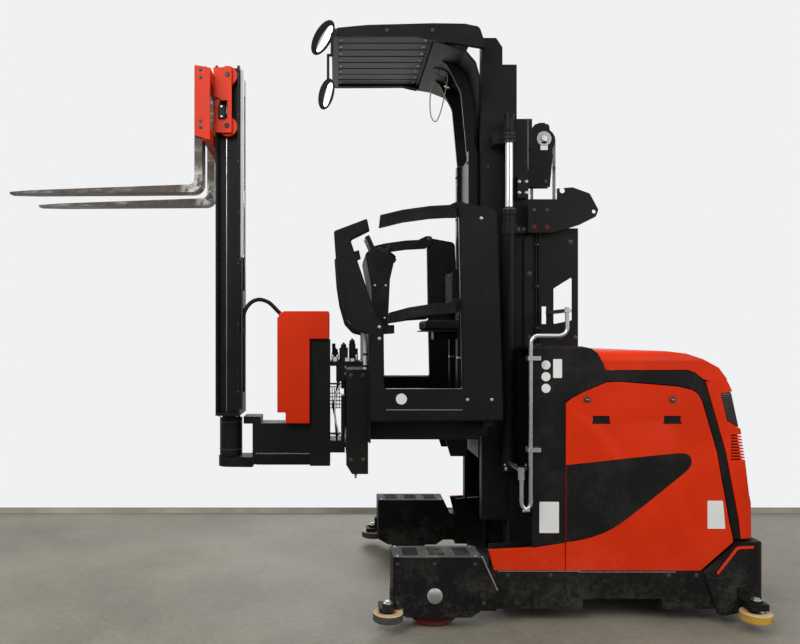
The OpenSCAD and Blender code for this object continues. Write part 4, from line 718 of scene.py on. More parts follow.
def turned_points(profile: Sequence[Sequence[float]], centre: Triple, axis: Triple,
                  sides: int) -> tuple[np.ndarray, list]:
    """Points and faces of a profile turned about an axis.

    A profile point (r, h) at angle t stands at centre + h axis + r (cos t a + sin t b), where a and b are
    square to the axis.

    Args:
        profile: radius and height pairs, from the axis out and back.
        centre: the middle of its foot.
        axis: its unit direction.
        sides: points round it.

    Returns:
        The points and the faces.
    """
    shape = np.asarray(profile, dtype=float)
    along = np.asarray(axis, dtype=float) / np.linalg.norm(axis)
    side = np.cross(along, [0.0, 0.0, 1.0] if abs(along[2]) < 0.9 else [1.0, 0.0, 0.0])
    side /= np.linalg.norm(side)
    other = np.cross(along, side)
    turn = np.linspace(0, math.tau, sides, endpoint=False)
    around = np.cos(turn)[:, None] * side + np.sin(turn)[:, None] * other
    points = (np.asarray(centre, dtype=float) + shape[:, 1][:, None, None] * along
              + shape[:, 0][:, None, None] * around[None, :, :])
    faces = grid_faces(len(shape), sides, False, True).tolist()
    faces.append(list(range(sides)))
    faces.append([(len(shape) - 1) * sides + k for k in range(sides)])
    return points.reshape(-1, 3), faces


def turned(name: str, profile: Sequence[Sequence[float]], centres: Sequence[Triple], axis: Triple, body: str,
           finish: Finish, sides: int = 32, rounded: float = 35.0) -> bpy.types.Object:
    """One piece of the same turned form at several places.

    Args:
        name, body, finish, rounded: as for any piece.
        profile: radius and height pairs in millimetres.
        centres: where each copy stands.
        axis: the way that they point.
        sides: points round each.

    Returns:
        The object.
    """
    one, faces = turned_points(np.asarray(profile) / 1000, (0, 0, 0), axis, sides)
    places = np.asarray(centres, dtype=float)
    points = (places[:, None, :] + one[None, :, :]).reshape(-1, 3)
    every = [[index + copy * len(one) for index in face] for copy in range(len(places)) for face in faces]
    return add_piece(name, points, every, body, finish, rounded=rounded)


def bolts(name: str, centres: Sequence[Triple], axis: Triple, body: str, radius: float = 0.009,
          finish: Finish = Finish.ZINC) -> bpy.types.Object:
    """Hexagon screws with washers, with their washers' undersides at the centres.

    Args:
        name, body, finish: as for any piece.
        centres: where they sit.
        axis: the way that their heads point.
        radius: half the width over a head's corners.

    Returns:
        The object.
    """
    washer = [(radius * 1.45, -0.0004), (radius * 1.5, 0.0004), (radius * 1.5, radius * 0.16),
              (radius * 1.4, radius * 0.2)]
    head = [(radius, radius * 0.15), (radius, radius * 0.72), (radius * 0.86, radius * 0.84),
            (radius * 0.3, radius * 0.86)]
    one, faces = turned_points(washer, (0, 0, 0), axis, 18)
    cap, more = turned_points(head, (0, 0, 0), axis, 6)
    shape = np.vstack([one, cap])
    joined = faces + [[index + len(one) for index in face] for face in more]
    places = np.asarray(centres, dtype=float)
    points = (places[:, None, :] + shape[None, :, :]).reshape(-1, 3)
    every = [[index + copy * len(shape) for index in face] for copy in range(len(places)) for face in joined]
    return add_piece(name, points, every, body, finish, rounded=25.0)


def plate(name: str, outline: Sequence[Sequence[float]], plane: str, low: float, high: float, body: str,
          finish: Finish, edge: float = 0.001) -> bpy.types.Object:
    """Flat plate: an outline in a plane, with a thickness.

    Args:
        name, body, finish: as for any piece.
        outline: its corners, two numbers each.
        plane: "xz", "xy" or "yz", the plane of the outline.
        low, high: where the plate begins and ends along the third axis.
        edge: width of its rounded edges.

    Returns:
        The object.
    """
    shape = np.asarray(outline, dtype=float)
    order = {"xz": (0, 2, 1), "xy": (0, 1, 2), "yz": (1, 2, 0)}[plane]
    points = np.zeros((2, len(shape), 3))
    points[:, :, order[0]] = shape[:, 0]
    points[:, :, order[1]] = shape[:, 1]
    points[:, :, order[2]] = np.array([low, high])[:, None]
    count = len(shape)
    faces = [list(range(count)), [count + k for k in range(count)]]
    faces += [[k, (k + 1) % count, count + (k + 1) % count, count + k] for k in range(count)]
    return add_piece(name, points.reshape(-1, 3), faces, body, finish, edge)


def box(left: float, low: float, right: float, high: float) -> list[tuple[float, float]]:
    """The four corners of a rectangle between two of them."""
    return [(left, low), (right, low), (right, high), (left, high)]


def bar(name: str, low: Triple, high: Triple, body: str, finish: Finish,
        edge: float = 0.002) -> bpy.types.Object:
    """Square-cornered block between two corners, with rounded edges.

    Args:
        name, body, finish: as for any piece.
        low, high: its corners.
        edge: width of its rounded edges.

    Returns:
        The object.
    """
    return plate(name, box(low[0], low[1], high[0], high[1]), "xy", low[2], high[2], body, finish, edge)


def round_corners(outline: Sequence[Sequence[float]], radius: float,
                  steps: int = 6) -> list[tuple[float, float]]:
    """Rounds each corner of an outline with a curve from one side to the next.

    Corner p with points a and b at the radius on both sides becomes (1 - t)^2 a + 2 t (1 - t) p + t^2 b.

    Args:
        outline: the corners.
        radius: how far the rounding starts from each corner.
        steps: pieces of each rounding.

    Returns:
        The rounded outline.
    """
    corners = np.asarray(outline, dtype=float)
    before = np.roll(corners, 1, axis=0) - corners
    after = np.roll(corners, -1, axis=0) - corners
    size_before = np.linalg.norm(before, axis=1, keepdims=True)
    size_after = np.linalg.norm(after, axis=1, keepdims=True)
    reach = np.minimum(radius, 0.49 * np.minimum(size_before, size_after))
    a = (corners + before / size_before * reach)[:, None, :]
    b = (corners + after / size_after * reach)[:, None, :]
    t = np.linspace(0, 1, steps + 1)[None, :, None]
    curve = (1 - t) ** 2 * a + 2 * t * (1 - t) * corners[:, None, :] + t ** 2 * b
    return [tuple(point) for point in curve.reshape(-1, 2)]


Zone = tuple[Callable[[np.ndarray, np.ndarray], np.ndarray], Finish]


@dataclass(frozen=True)
class Skin:
    """How one CAD node is dressed: its finish, the width of its edges, and zones in other finishes."""

    node: str
    finish: Finish
    width: float = 0.002
    zones: tuple[Zone, ...] = ()

    def dress(self) -> None:
        """Gives the node its finish, on a copy with rounded edges where it has a width.

        Each face whose centre and normal pass a zone's test takes that zone's finish.
        """
        source = frame["nodes"][self.node]
        if self.width <= 0:
            source.data.materials.clear()
            source.data.materials.append(self.finish.material())
            return
        mesh = source.data.copy()
        work = bmesh.new()
        work.from_mesh(mesh)
        bmesh.ops.remove_doubles(work, verts=work.verts, dist=0.00002)
        bmesh.ops.dissolve_limit(work, angle_limit=math.radians(0.6), verts=work.verts, edges=work.edges)
        work.to_mesh(mesh)
        work.free()
        mesh.materials.clear()
        mesh.materials.append(self.finish.material())
        count = len(mesh.polygons)
        centres = np.empty(count * 3)
        normals = np.empty(count * 3)
        mesh.polygons.foreach_get("center", centres)
        mesh.polygons.foreach_get("normal", normals)
        slots = np.zeros(count, dtype=np.int32)
        for index, (test, finish) in enumerate(self.zones):
            mesh.materials.append(finish.material())
            chosen = test(centres.reshape(-1, 3), normals.reshape(-1, 3))
            slots[chosen] = index + 1
        mesh.polygons.foreach_set("material_index", slots)
        mesh.shade_smooth()
        mesh.set_sharp_from_angle(angle=math.radians(28))
        piece = new_object(self.node + "_dressed", mesh)
        round_edges(piece, self.width)
        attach(piece, body_of(self.node))
        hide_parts(self.node)
        LOG.info("dressed %s", self.node)


@dataclass
class Studio:
    """Camera, floor, world and lamps."""

    eye: Triple = (-0.2, -4.9, 1.657)
    focal_px: float = 716.0
    width_px: float = 800.0
    axis_px: tuple[float, float] = (336.0, 338.0)
    centre_px: tuple[float, float] = (400.0, 322.0)
    wall_y: float = 1.88

    def camera(self) -> None:
        """Sets the camera level along +Y, with its shift from where its axis meets the picture."""
        data = bpy.data.cameras.new("camera")
        data.sensor_fit = "HORIZONTAL"
        data.sensor_width = 36.0
        data.lens = self.focal_px / self.width_px * data.sensor_width
        data.shift_x = (self.centre_px[0] - self.axis_px[0]) / self.width_px
        data.shift_y = (self.axis_px[1] - self.centre_px[1]) / self.width_px
        data.clip_end = 200.0
        camera = new_object("camera", data)
        camera.location = self.eye
        camera.rotation_euler = (math.radians(90), 0, 0)
        bpy.context.scene.camera = camera
        bpy.context.scene.view_settings.view_transform = "Standard"

    def floor(self) -> None:
        """Lays a pale concrete floor that ends at a wall line, past which it looks as the backdrop does."""
        mesh = bpy.data.meshes.new("floor")
        mesh.from_pydata([(-40, -40, 0), (40, -40, 0), (40, 40, 0), (-40, 40, 0)], [], [(0, 1, 2, 3)])
        floor = new_object("floor", mesh)
        g = Graph("pale concrete")
        y = g.axes()[1]
        cloud = g.noise(0.9, 6.0, 0.62)
        speck = g.noise(26.0, 6.0, 0.7)
        tone = (cloud * 0.65 + speck * 0.35).step(0.3, 0.72)
        colour = g.mix(tone, linear(104, 99, 87), linear(140, 134, 120))
        shader = g.node("ShaderNodeBsdfPrincipled", {}, {
            "Base Color": colour, "Roughness": 0.55, "Normal": g.bump(speck, 0.0008)})
        pale = g.node("ShaderNodeEmission", {}, {"Color": linear(240, 241, 242), "Strength": 1.0})
        rays = g.tree.nodes.new("ShaderNodeLightPath")
        seen = Value(g, rays.outputs["Is Camera Ray"]).highest(Value(g, rays.outputs["Is Glossy Ray"]))
        beyond = y.step(self.wall_y - 0.004, self.wall_y + 0.004) * seen
        both = g.node("ShaderNodeMixShader", {}, {0: beyond, 1: shader, 2: pale})
        g.tree.links.new(both.socket, g.output.inputs[0])
        mesh.materials.append(g.material)

    def skirting(self) -> None:
        """Stands a low skirting strip at the foot of the backdrop."""
        mesh = bpy.data.meshes.new("skirting")
        y = self.wall_y
        mesh.from_pydata([(-40, y, 0.0), (40, y, 0.0), (40, y, 0.052), (-40, y, 0.052)], [], [(0, 1, 2, 3)])
        strip = new_object("skirting", mesh)
        g = Graph("stone skirting")
        height = g.axes()[2]
        seam = height.step(0.044, 0.047) - height.step(0.049, 0.0515)
        stone = g.mix(g.noise(3.0, 5.0, 0.6).step(0.3, 0.7), linear(168, 160, 146), linear(196, 189, 176))
        colour = g.mix(seam, stone, linear(116, 108, 96))
        mesh.materials.append(g.surface(Base_Color=colour, Roughness=0.6))

    def world(self) -> None:
        """Sets a soft white world that shows as a pale backdrop."""
        world = bpy.data.worlds.new("soft white")
        bpy.context.scene.world = world
        world.use_nodes = True
        tree = world.node_tree
        tree.nodes.clear()
        rays = tree.nodes.new("ShaderNodeLightPath")
        light = tree.nodes.new("ShaderNodeBackground")
        light.inputs[0].default_value = (0.92, 0.95, 1.0, 1.0)
        light.inputs[1].default_value = 0.44
        show = tree.nodes.new("ShaderNodeBackground")
        show.inputs[0].default_value = linear(240, 241, 242)
        show.inputs[1].default_value = 1.0
        seen = tree.nodes.new("ShaderNodeMath")
        seen.operation = "MAXIMUM"
        tree.links.new(rays.outputs["Is Camera Ray"], seen.inputs[0])
        tree.links.new(rays.outputs["Is Glossy Ray"], seen.inputs[1])
        mixed = tree.nodes.new("ShaderNodeMixShader")
        output = tree.nodes.new("ShaderNodeOutputWorld")
        tree.links.new(seen.outputs[0], mixed.inputs[0])
        tree.links.new(light.outputs[0], mixed.inputs[1])
        tree.links.new(show.outputs[0], mixed.inputs[2])
        tree.links.new(mixed.outputs[0], output.inputs[0])

    def lamp(self, name: str, place: Triple, aim: Triple, size: float, watts: float) -> None:
        """Hangs one square soft light.

        Args:
            name: its name.
            place, aim: where it hangs and the point that it faces.
            size: side in metres.
            watts: its power.
        """
        data = bpy.data.lights.new(name, "AREA")
        data.size = size
        data.energy = watts
        light = new_object(name, data)
        light.location = place
        light.rotation_euler = (Vector(aim) - Vector(place)).to_track_quat("-Z", "Y").to_euler()

    def build(self) -> None:
        """Sets up the studio."""
        self.camera()
        self.floor()
        self.skirting()
        self.world()
        self.lamp("key", (-2.6, -4.6, 5.2), (0.2, 0.0, 1.4), 3.4, 250.0)
        self.lamp("fill", (4.6, -4.2, 3.4), (0.8, 0.0, 1.2), 3.0, 115.0)
        self.lamp("top", (0.4, 0.4, 6.4), (0.4, 0.0, 0.0), 4.0, 140.0)
        self.lamp("back", (0.5, 5.4, 4.2), (0.5, 0.0, 1.4), 3.6, 130.0)


@dataclass
class Cords:
    """The hose between the red cover and the swivelling mast, and the rope loop under the guard."""

    hose_points: tuple[Triple, ...] = ((-578.6, -60, 1824), (-598.6, -60, 1844), (-622, -64, 1869),
                                       (-648, -69, 1893), (-680, -74, 1909), (-712, -80, 1916),
                                       (-744, -88, 1910), (-772, -95, 1893), (-796, -101, 1865),
                                       (-814, -106, 1828), (-820, -108, 1782), (-820, -108, 1725.3))
    hose_radius: float = 0.0135
    rope_points: tuple[Triple, ...] = ((561, -20, 3454), (557, -24, 3400), (545, -30, 3340),
                                       (530, -34, 3270), (512, -36, 3200), (494, -36, 3150),
                                       (476, -34, 3128), (458, -30, 3140), (444, -26, 3180),
                                       (440, -20, 3250), (446, -14, 3330), (462, -10, 3390),
                                       (484, -8, 3440), (498, -8, 3478))
    rope_radius: float = 0.004

    def lay(self, name: str, points: Sequence[Triple], radius: float, finish: Finish, body: str, count: int,
            stiffness: str, lay: str) -> None:
        """Args:
            name: the CAD node that it stands for.
            points: the route in millimetres.
            radius: in metres.
            finish, body: as for any piece.
            count: points along it.
            stiffness, lay: not used.
        """
        path = smooth_path([[value / 1000.0 for value in point] for point in points], count)
        piece = tube(name + "_run", path, radius, body, finish, 16)
        mesh = piece.data
        layer = mesh.uv_layers.new(name="along")
        length = float(np.linalg.norm(np.diff(path, axis=0), axis=1).sum())
        corners = np.empty(len(mesh.loops), dtype=np.int32)
        mesh.loops.foreach_get("vertex_index", corners)
        along = (corners // 16) * (length / (count - 1))
        around = (corners % 16) / 16.0
        layer.data.foreach_set("uv", np.stack([along, around], axis=1).astype(np.float32).ravel())
        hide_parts(name)

    def build(self) -> None:
        """Lays both cords."""
        self.lay("swivel_hose", self.hose_points, self.hose_radius, Finish.RUBBER, "head", 48, "stiff",
                 "loose")
        self.lay("rope_loop", self.rope_points, self.rope_radius, Finish.ROPE, "cab", 90, "limp", "hanging")


@dataclass
class Dressing:
    """The finish of every CAD node that shows."""

    rod_x: float = 0.878
    rod_y: float = 0.44
    rod_reach: float = 0.027
    rail_front_x: float = -0.1352

    def off_rod(self, centres: np.ndarray, normals: np.ndarray) -> np.ndarray:
        """Faces further from a lift rod's axis than the rod's own surface."""
        reach = np.hypot(centres[:, 0] - self.rod_x, np.abs(centres[:, 1]) - self.rod_y)
        return reach > self.rod_reach

    def skins(self) -> list[Skin]:
        """Every node with its finish.

        Returns:
            The skins, plain ones first.
        """
        top = (lambda c, n: n[:, 2] > 0.7, Finish.COVER_TOP)
        rods = (self.off_rod, Finish.CHARCOAL)
        track = (lambda c, n: (np.abs(n[:, 0]) > 0.9) & (np.abs(c[:, 1]) < 0.6)
                 & (c[:, 0] < self.rail_front_x + 0.03), Finish.RAIL)
        # partly painted light: the downward slat faces of the guard roof take a lighter brown grey, partly
        # their own colour and partly the light that falls on them
        slat_colour_and_light = (lambda c, n: (n[:, 2] < -0.7) & (c[:, 2] < 3.56) & (np.abs(c[:, 1]) < 0.428), Finish.SLAT)
        tread = (lambda c, n: np.abs(n[:, 2]) < 0.5, Finish.GREY_TREAD)
        yellow = (lambda c, n: np.abs(n[:, 2]) < 0.5, Finish.YELLOW_TREAD)
        inside = (lambda c, n: n[:, 1] * np.sign(c[:, 1]) < -0.5, Finish.CHARCOAL)
        plain = (
            (Finish.CHARCOAL, 0.003, "base_frame cab_side_left cab_side_right"),
            (Finish.CHARCOAL, 0.002, "bulkhead load_arms guide_brackets outer_mast cab_floor cab_tower "
                                     "head_frame"),
            (Finish.ZINC, 0.0015, "load_axles"),
            (Finish.PANEL, 0.006, "rear_bumpers"),
            (Finish.PANEL, 0.003, "side_trim"),
            (Finish.RED, 0.004, "hood"),
            (Finish.RED, 0.0015, "rear_cover"),
            (Finish.SMOKED, 0.003, "rear_lamps"),
            (Finish.CAST, 0.004, "battery"),
            (Finish.RED, 0.002, "door_left door_right"),
            (Finish.RED_TREAD, 0.0, "load_wheel_left load_wheel_right"),
            (Finish.CAST, 0.0, "drive_unit"),
            (Finish.BLACK_TREAD, 0.0, "drive_wheel"),
            (Finish.CHARCOAL, 0.0015, "mast_support inner_mast mast_carriage aux_mast"),
            (Finish.CHARCOAL, 0.0, "lift_barrels chain_pulley swivel_base"),
            (Finish.ZINC, 0.0, "steel_pipe"),
            (Finish.CHAIN, 0.0, "lift_chain"),
            (Finish.CHARCOAL, 0.001, "cab_front_wall"),
            (Finish.CHARCOAL, 0.0012, "guard_vault"),
            (Finish.PANEL, 0.0015, "guard_lamp mirrors"),
            (Finish.PANEL, 0.004, "console"),
            (Finish.PANEL, 0.005, "gate_upper_left gate_lower_left gate_upper_right gate_lower_right"),
            (Finish.RED, 0.006, "motor_cover"),
            (Finish.IRON, 0.0, "aux_cylinder"),
            (Finish.RED, 0.001, "fork_carriage"),
            (Finish.FORK, 0.003, "forks"))
        skins = [Skin(node, finish, width) for finish, width, nodes in plain for node in nodes.split()]
        zoned = (
            (Finish.PANEL, 0.005, top, "arm_covers"),
            (Finish.RED, 0.003, inside, "sill_fairings"),
            (Finish.CREAM, 0.0015, tread, "guide_front_left guide_front_right"),
            (Finish.CREAM, 0.0015, yellow, "guide_rear_left guide_rear_right"),
            (Finish.CHROME, 0.0012, rods, "lift_rods"),
            (Finish.CHARCOAL, 0.0025, slat_colour_and_light, "guard_roof"),
            (Finish.CHARCOAL, 0.0012, track, "traverse_frame"))
        return skins + [Skin(node, finish, width, (zone,)) for finish, width, zone, nodes in zoned
                        for node in nodes.split()]

    def build(self) -> None:
        """Dresses every node."""
        for skin in self.skins():
            skin.dress()


@dataclass
class Doors:
    """What is on the two side doors: sweep panel, handles, latches and a blank plate."""

    face_y: float = 0.725
    sweep_top: tuple = ((1.1418, 0.9165), (1.36, 0.94), (1.6, 0.966), (1.8, 0.986))
    sweep_bottom: tuple = ((1.874, 0.938), (1.855, 0.893), (1.72, 0.78), (1.573, 0.662), (1.421, 0.551),
                           (1.31, 0.502), (1.21, 0.476), (1.1418, 0.467))
    handle_x: tuple = (1.298, 1.713)
    latch_x: tuple = (1.264, 1.763)

    def side(self, sign: int) -> None:
        """Builds one door's pieces.

        Args:
            sign: -1 for the left door and 1 for the right.
        """
        body = "door_left" if sign < 0 else "door_right"
        out = sign * self.face_y

        def between(near: float, far: float) -> tuple[float, float]:
            """Two places off the door's face, lowest first."""
            ends = sorted((out + sign * near, out + sign * far))
            return ends[0], ends[1]

        top = smooth_path(self.sweep_top, 24)
        nose = smooth_path([(1.8, 0.986), (1.842, 0.982), (1.868, 0.962), (1.874, 0.938)], 14)
        low = smooth_path(self.sweep_bottom, 40)
        outline = np.vstack([top, nose[1:-1], low])
        plate(f"{body}_sweep", outline, "xz", *between(0.0, 0.0012), body, Finish.PANEL, 0.0004)
        for index, x in enumerate(self.handle_x):
            cup = round_corners(box(x + 0.002, 1.163, x + 0.097, 1.2), 0.008)
            plate(f"{body}_handle_cup_{index}", cup, "xz", *between(-0.012, -0.0095), body, Finish.PANEL, 0.0)
            rim = round_corners(box(x - 0.004, 1.157, x + 0.103, 1.168), 0.004)
            plate(f"{body}_handle_lip_{index}", rim, "xz", *between(-0.001, 0.0025), body, Finish.PANEL,
                  0.001)
        for index, x in enumerate(self.latch_x):
            dial = [(17.5, 0), (19, 1.5), (18.5, 5), (14.5, 8.5), (13.5, 7.5), (6, 7.2)]
            turned(f"{body}_latch_{index}", dial, [(x, out, 1.299)], (0, sign, 0), body, Finish.IRON)
            bar(f"{body}_latch_slot_{index}", (x - 0.01, between(0.0072, 0.0092)[0], 1.2965),
                (x + 0.01, between(0.0072, 0.0092)[1], 1.3015), body, Finish.ZINC, 0.0006)
        blank = round_corners([(1.966, 0.545), (2.07, 0.545), (2.056, 0.708), (1.966, 0.708)], 0.006)
        plate(f"{body}_blank_plate", blank, "xz", *between(0.0, 0.0012), body, Finish.BLANK, 0.0004)

    def build(self) -> None:
        """Builds both doors' pieces."""
        self.side(-1)
        self.side(1)


@dataclass
class Chassis:
    """Trim and fasteners of the chassis, its load arms and its corners."""

    face_y: float = 0.725
    strip_x: tuple = (0.184, 0.334, 0.484)
    strip_y: tuple = (0.646, 0.795)
    top_z: float = 0.411

    def strips(self) -> None:
        """Lays ribbed anti-slip strips in the load arm covers' recesses.

        Each strip's top is z + 0.7 mm |sin| of its length, a row of fine ridges.
        """
        count = 61
        lower = 3 * count
        u = np.linspace(0, 1, count)
        v = np.linspace(0, 1, 3)
        for sign, side in SIDES:
            for index, x in enumerate(self.strip_x):
                grid_u, grid_v = np.meshgrid(u, v, indexing="ij")
                ridge = 0.0007 * np.abs(np.sin(grid_u * math.pi * 12))
                y = sign * (self.strip_y[0] + 0.003 + grid_u * (self.strip_y[1] - self.strip_y[0] - 0.006))
                tops = np.stack([x + 0.002 + grid_v * 0.086, y, self.top_z - 0.0008 + ridge], axis=2)
                lows = tops.copy()
                lows[:, :, 2] = self.top_z - 0.0019
                points = np.vstack([tops.reshape(-1, 3), lows.reshape(-1, 3)])
                faces = grid_faces(count, 3, False, False)
                rim = [k * 3 for k in range(count)] + [lower - 2]
                rim += [k * 3 + 2 for k in reversed(range(count))] + [1]
                walls = [[here, after, after + lower, here + lower]
                         for here, after in zip(rim, rim[1:] + rim[:1])]
                every = faces.tolist() + (faces + lower).tolist() + walls
                add_piece(f"grip_strip_{side}_{index}", points, every, "chassis", Finish.GRIP, rounded=60.0)

    def arms(self) -> None:
        """Adds wheel caps, cover screws and the bright edge on the covers' tails."""
        for sign, side in SIDES:
            cap = [(0, 0), (43.5, 0), (43.5, 0.8), (42, 1.8), (0, 1.8)]
            turned(f"axle_cap_{side}", cap, [(0.362, sign * 0.833, 0.19)], (0, sign, 0), "chassis",
                   Finish.ZINC, 48)
            places = [(x, sign * 0.835, z) for x, z in
                      ((0.15, 0.372), (0.15, 0.15), (0.36, 0.372), (0.59, 0.372), (0.64, 0.15))]
            bolts(f"cover_screws_{side}", places, (0, sign, 0), "chassis", 0.0075, Finish.IRON)
            edge = [(0.628, 0.4105), (0.634, 0.4135), (0.722, 0.2225), (0.715, 0.2205)]
            ends = span(sign, 0.818, 0.834)
            plate(f"tail_edge_{side}", edge, "xz", ends[0], ends[1], "chassis", Finish.ZINC, 0.0008)
            screws = [(x, sign * y, 0.411) for x in (0.15, 0.6) for y in (0.628, 0.812)]
            bolts(f"cover_top_screws_{side}", screws, (0, 0, 1), "chassis", 0.0065, Finish.ZINC)

    def rollers(self) -> None:
        """Adds the nuts over the guide rollers and the hub rings on them."""
        for name, x, y, z in (("front_left", 0.094, -0.855, 0.158), ("front_right", 0.094, 0.855, 0.158),
                              ("rear_left", 2.173, -0.855, 0.176), ("rear_right", 2.173, 0.855, 0.176)):
            bolts(f"roller_nut_{name}", [(x, y, z)], (0, 0, 1), "chassis", 0.018)
            ring = [(15, 0), (38, 0), (39, 1.2), (36, 2.2), (15, 2.2)]
            turned(f"roller_hub_{name}", ring, [(x, y, 0.108)], (0, 0, 1), "guide_" + name, Finish.ZINC, 40)

    def signs(self) -> None:
        """Adds the bare discs and plates on the black front corners."""
        for sign, side in SIDES:
            out = sign * self.face_y
            ends = sorted((out, out + sign * 0.0009))
            disc = [(0, 0), (26.2, 0), (26.6, 0.4), (26.2, 0.9), (0, 0.9)]
            places = [(1.0245, out, z) for z in (1.4995, 1.4315, 1.3635)]
            turned(f"bare_discs_{side}", disc, places, (0, sign, 0), "chassis", Finish.BLANK, 40)
            card = round_corners(box(1.066, 1.424, 1.118, 1.534), 0.004)
            plate(f"bare_card_{side}", card, "xz", *ends, "chassis", Finish.BLANK, 0.0003)
            low = round_corners(box(0.986, 0.52, 1.1, 0.702), 0.005)
            plate(f"blank_plate_{side}", low, "xz", *ends, "chassis", Finish.BLANK, 0.0003)

    def skirts(self) -> None:
        """Adds skirt screws and painted highlights on the skirts' top edges, slot screens, lamp rims and the
        bumpers' red stripe.
        """
        for sign, side in SIDES:
            places = [(x, sign * 0.725, 0.272) for x in (0.8, 1.05, 1.74, 1.9)]
            bolts(f"skirt_screws_{side}", places, (0, sign, 0), "chassis", 0.0095, Finish.IRON)
            # painted highlight: pale zinc strips where light catches the top edge of the black skirt
            for part, start, end, level in (("front", 0.745, 1.226, 0.2955), ("rear", 1.212, 1.78, 0.2905)):
                rubbed = box(start, level, end, level + 0.0035)
                plate(f"skirt_highlight_{part}_{side}", rubbed, "xz", *span(sign, 0.7249, 0.7258),
                      "chassis", Finish.ZINC, 0.0002)
            low, high = span(sign, 0.64, 0.655)
            backing = [(2.075, 0.92), (2.17, 0.92), (2.15, 1.1), (2.075, 1.1)]
            plate(f"slot_screen_{side}", backing, "xz", low, high, "chassis", Finish.PANEL, 0.0)
            stripe = [(2.0, 0.3), (2.112, 0.444), (2.128, 0.452), (2.216, 0.456), (2.216, 0.44),
                      (2.134, 0.436), (2.122, 0.43), (2.012, 0.288)]
            ends = span(sign, 0.7605, 0.7595)
            plate(f"bumper_stripe_{side}", stripe, "xz", *ends, "chassis", Finish.RED, 0.0)
            rim = [(2.04, 1.334), (2.046, 1.337), (2.115, 1.347), (2.158, 1.133), (2.152, 1.131),
                   (2.11, 1.341)]
            plate(f"lamp_rim_{side}", rim, "xz", *span(sign, 0.6885, 0.6905), "chassis",
                  Finish.PANEL, 0.0)

    def build(self) -> None:
        """Builds the chassis's pieces."""
        self.strips()
        self.arms()
        self.rollers()
        self.signs()
        self.skirts()


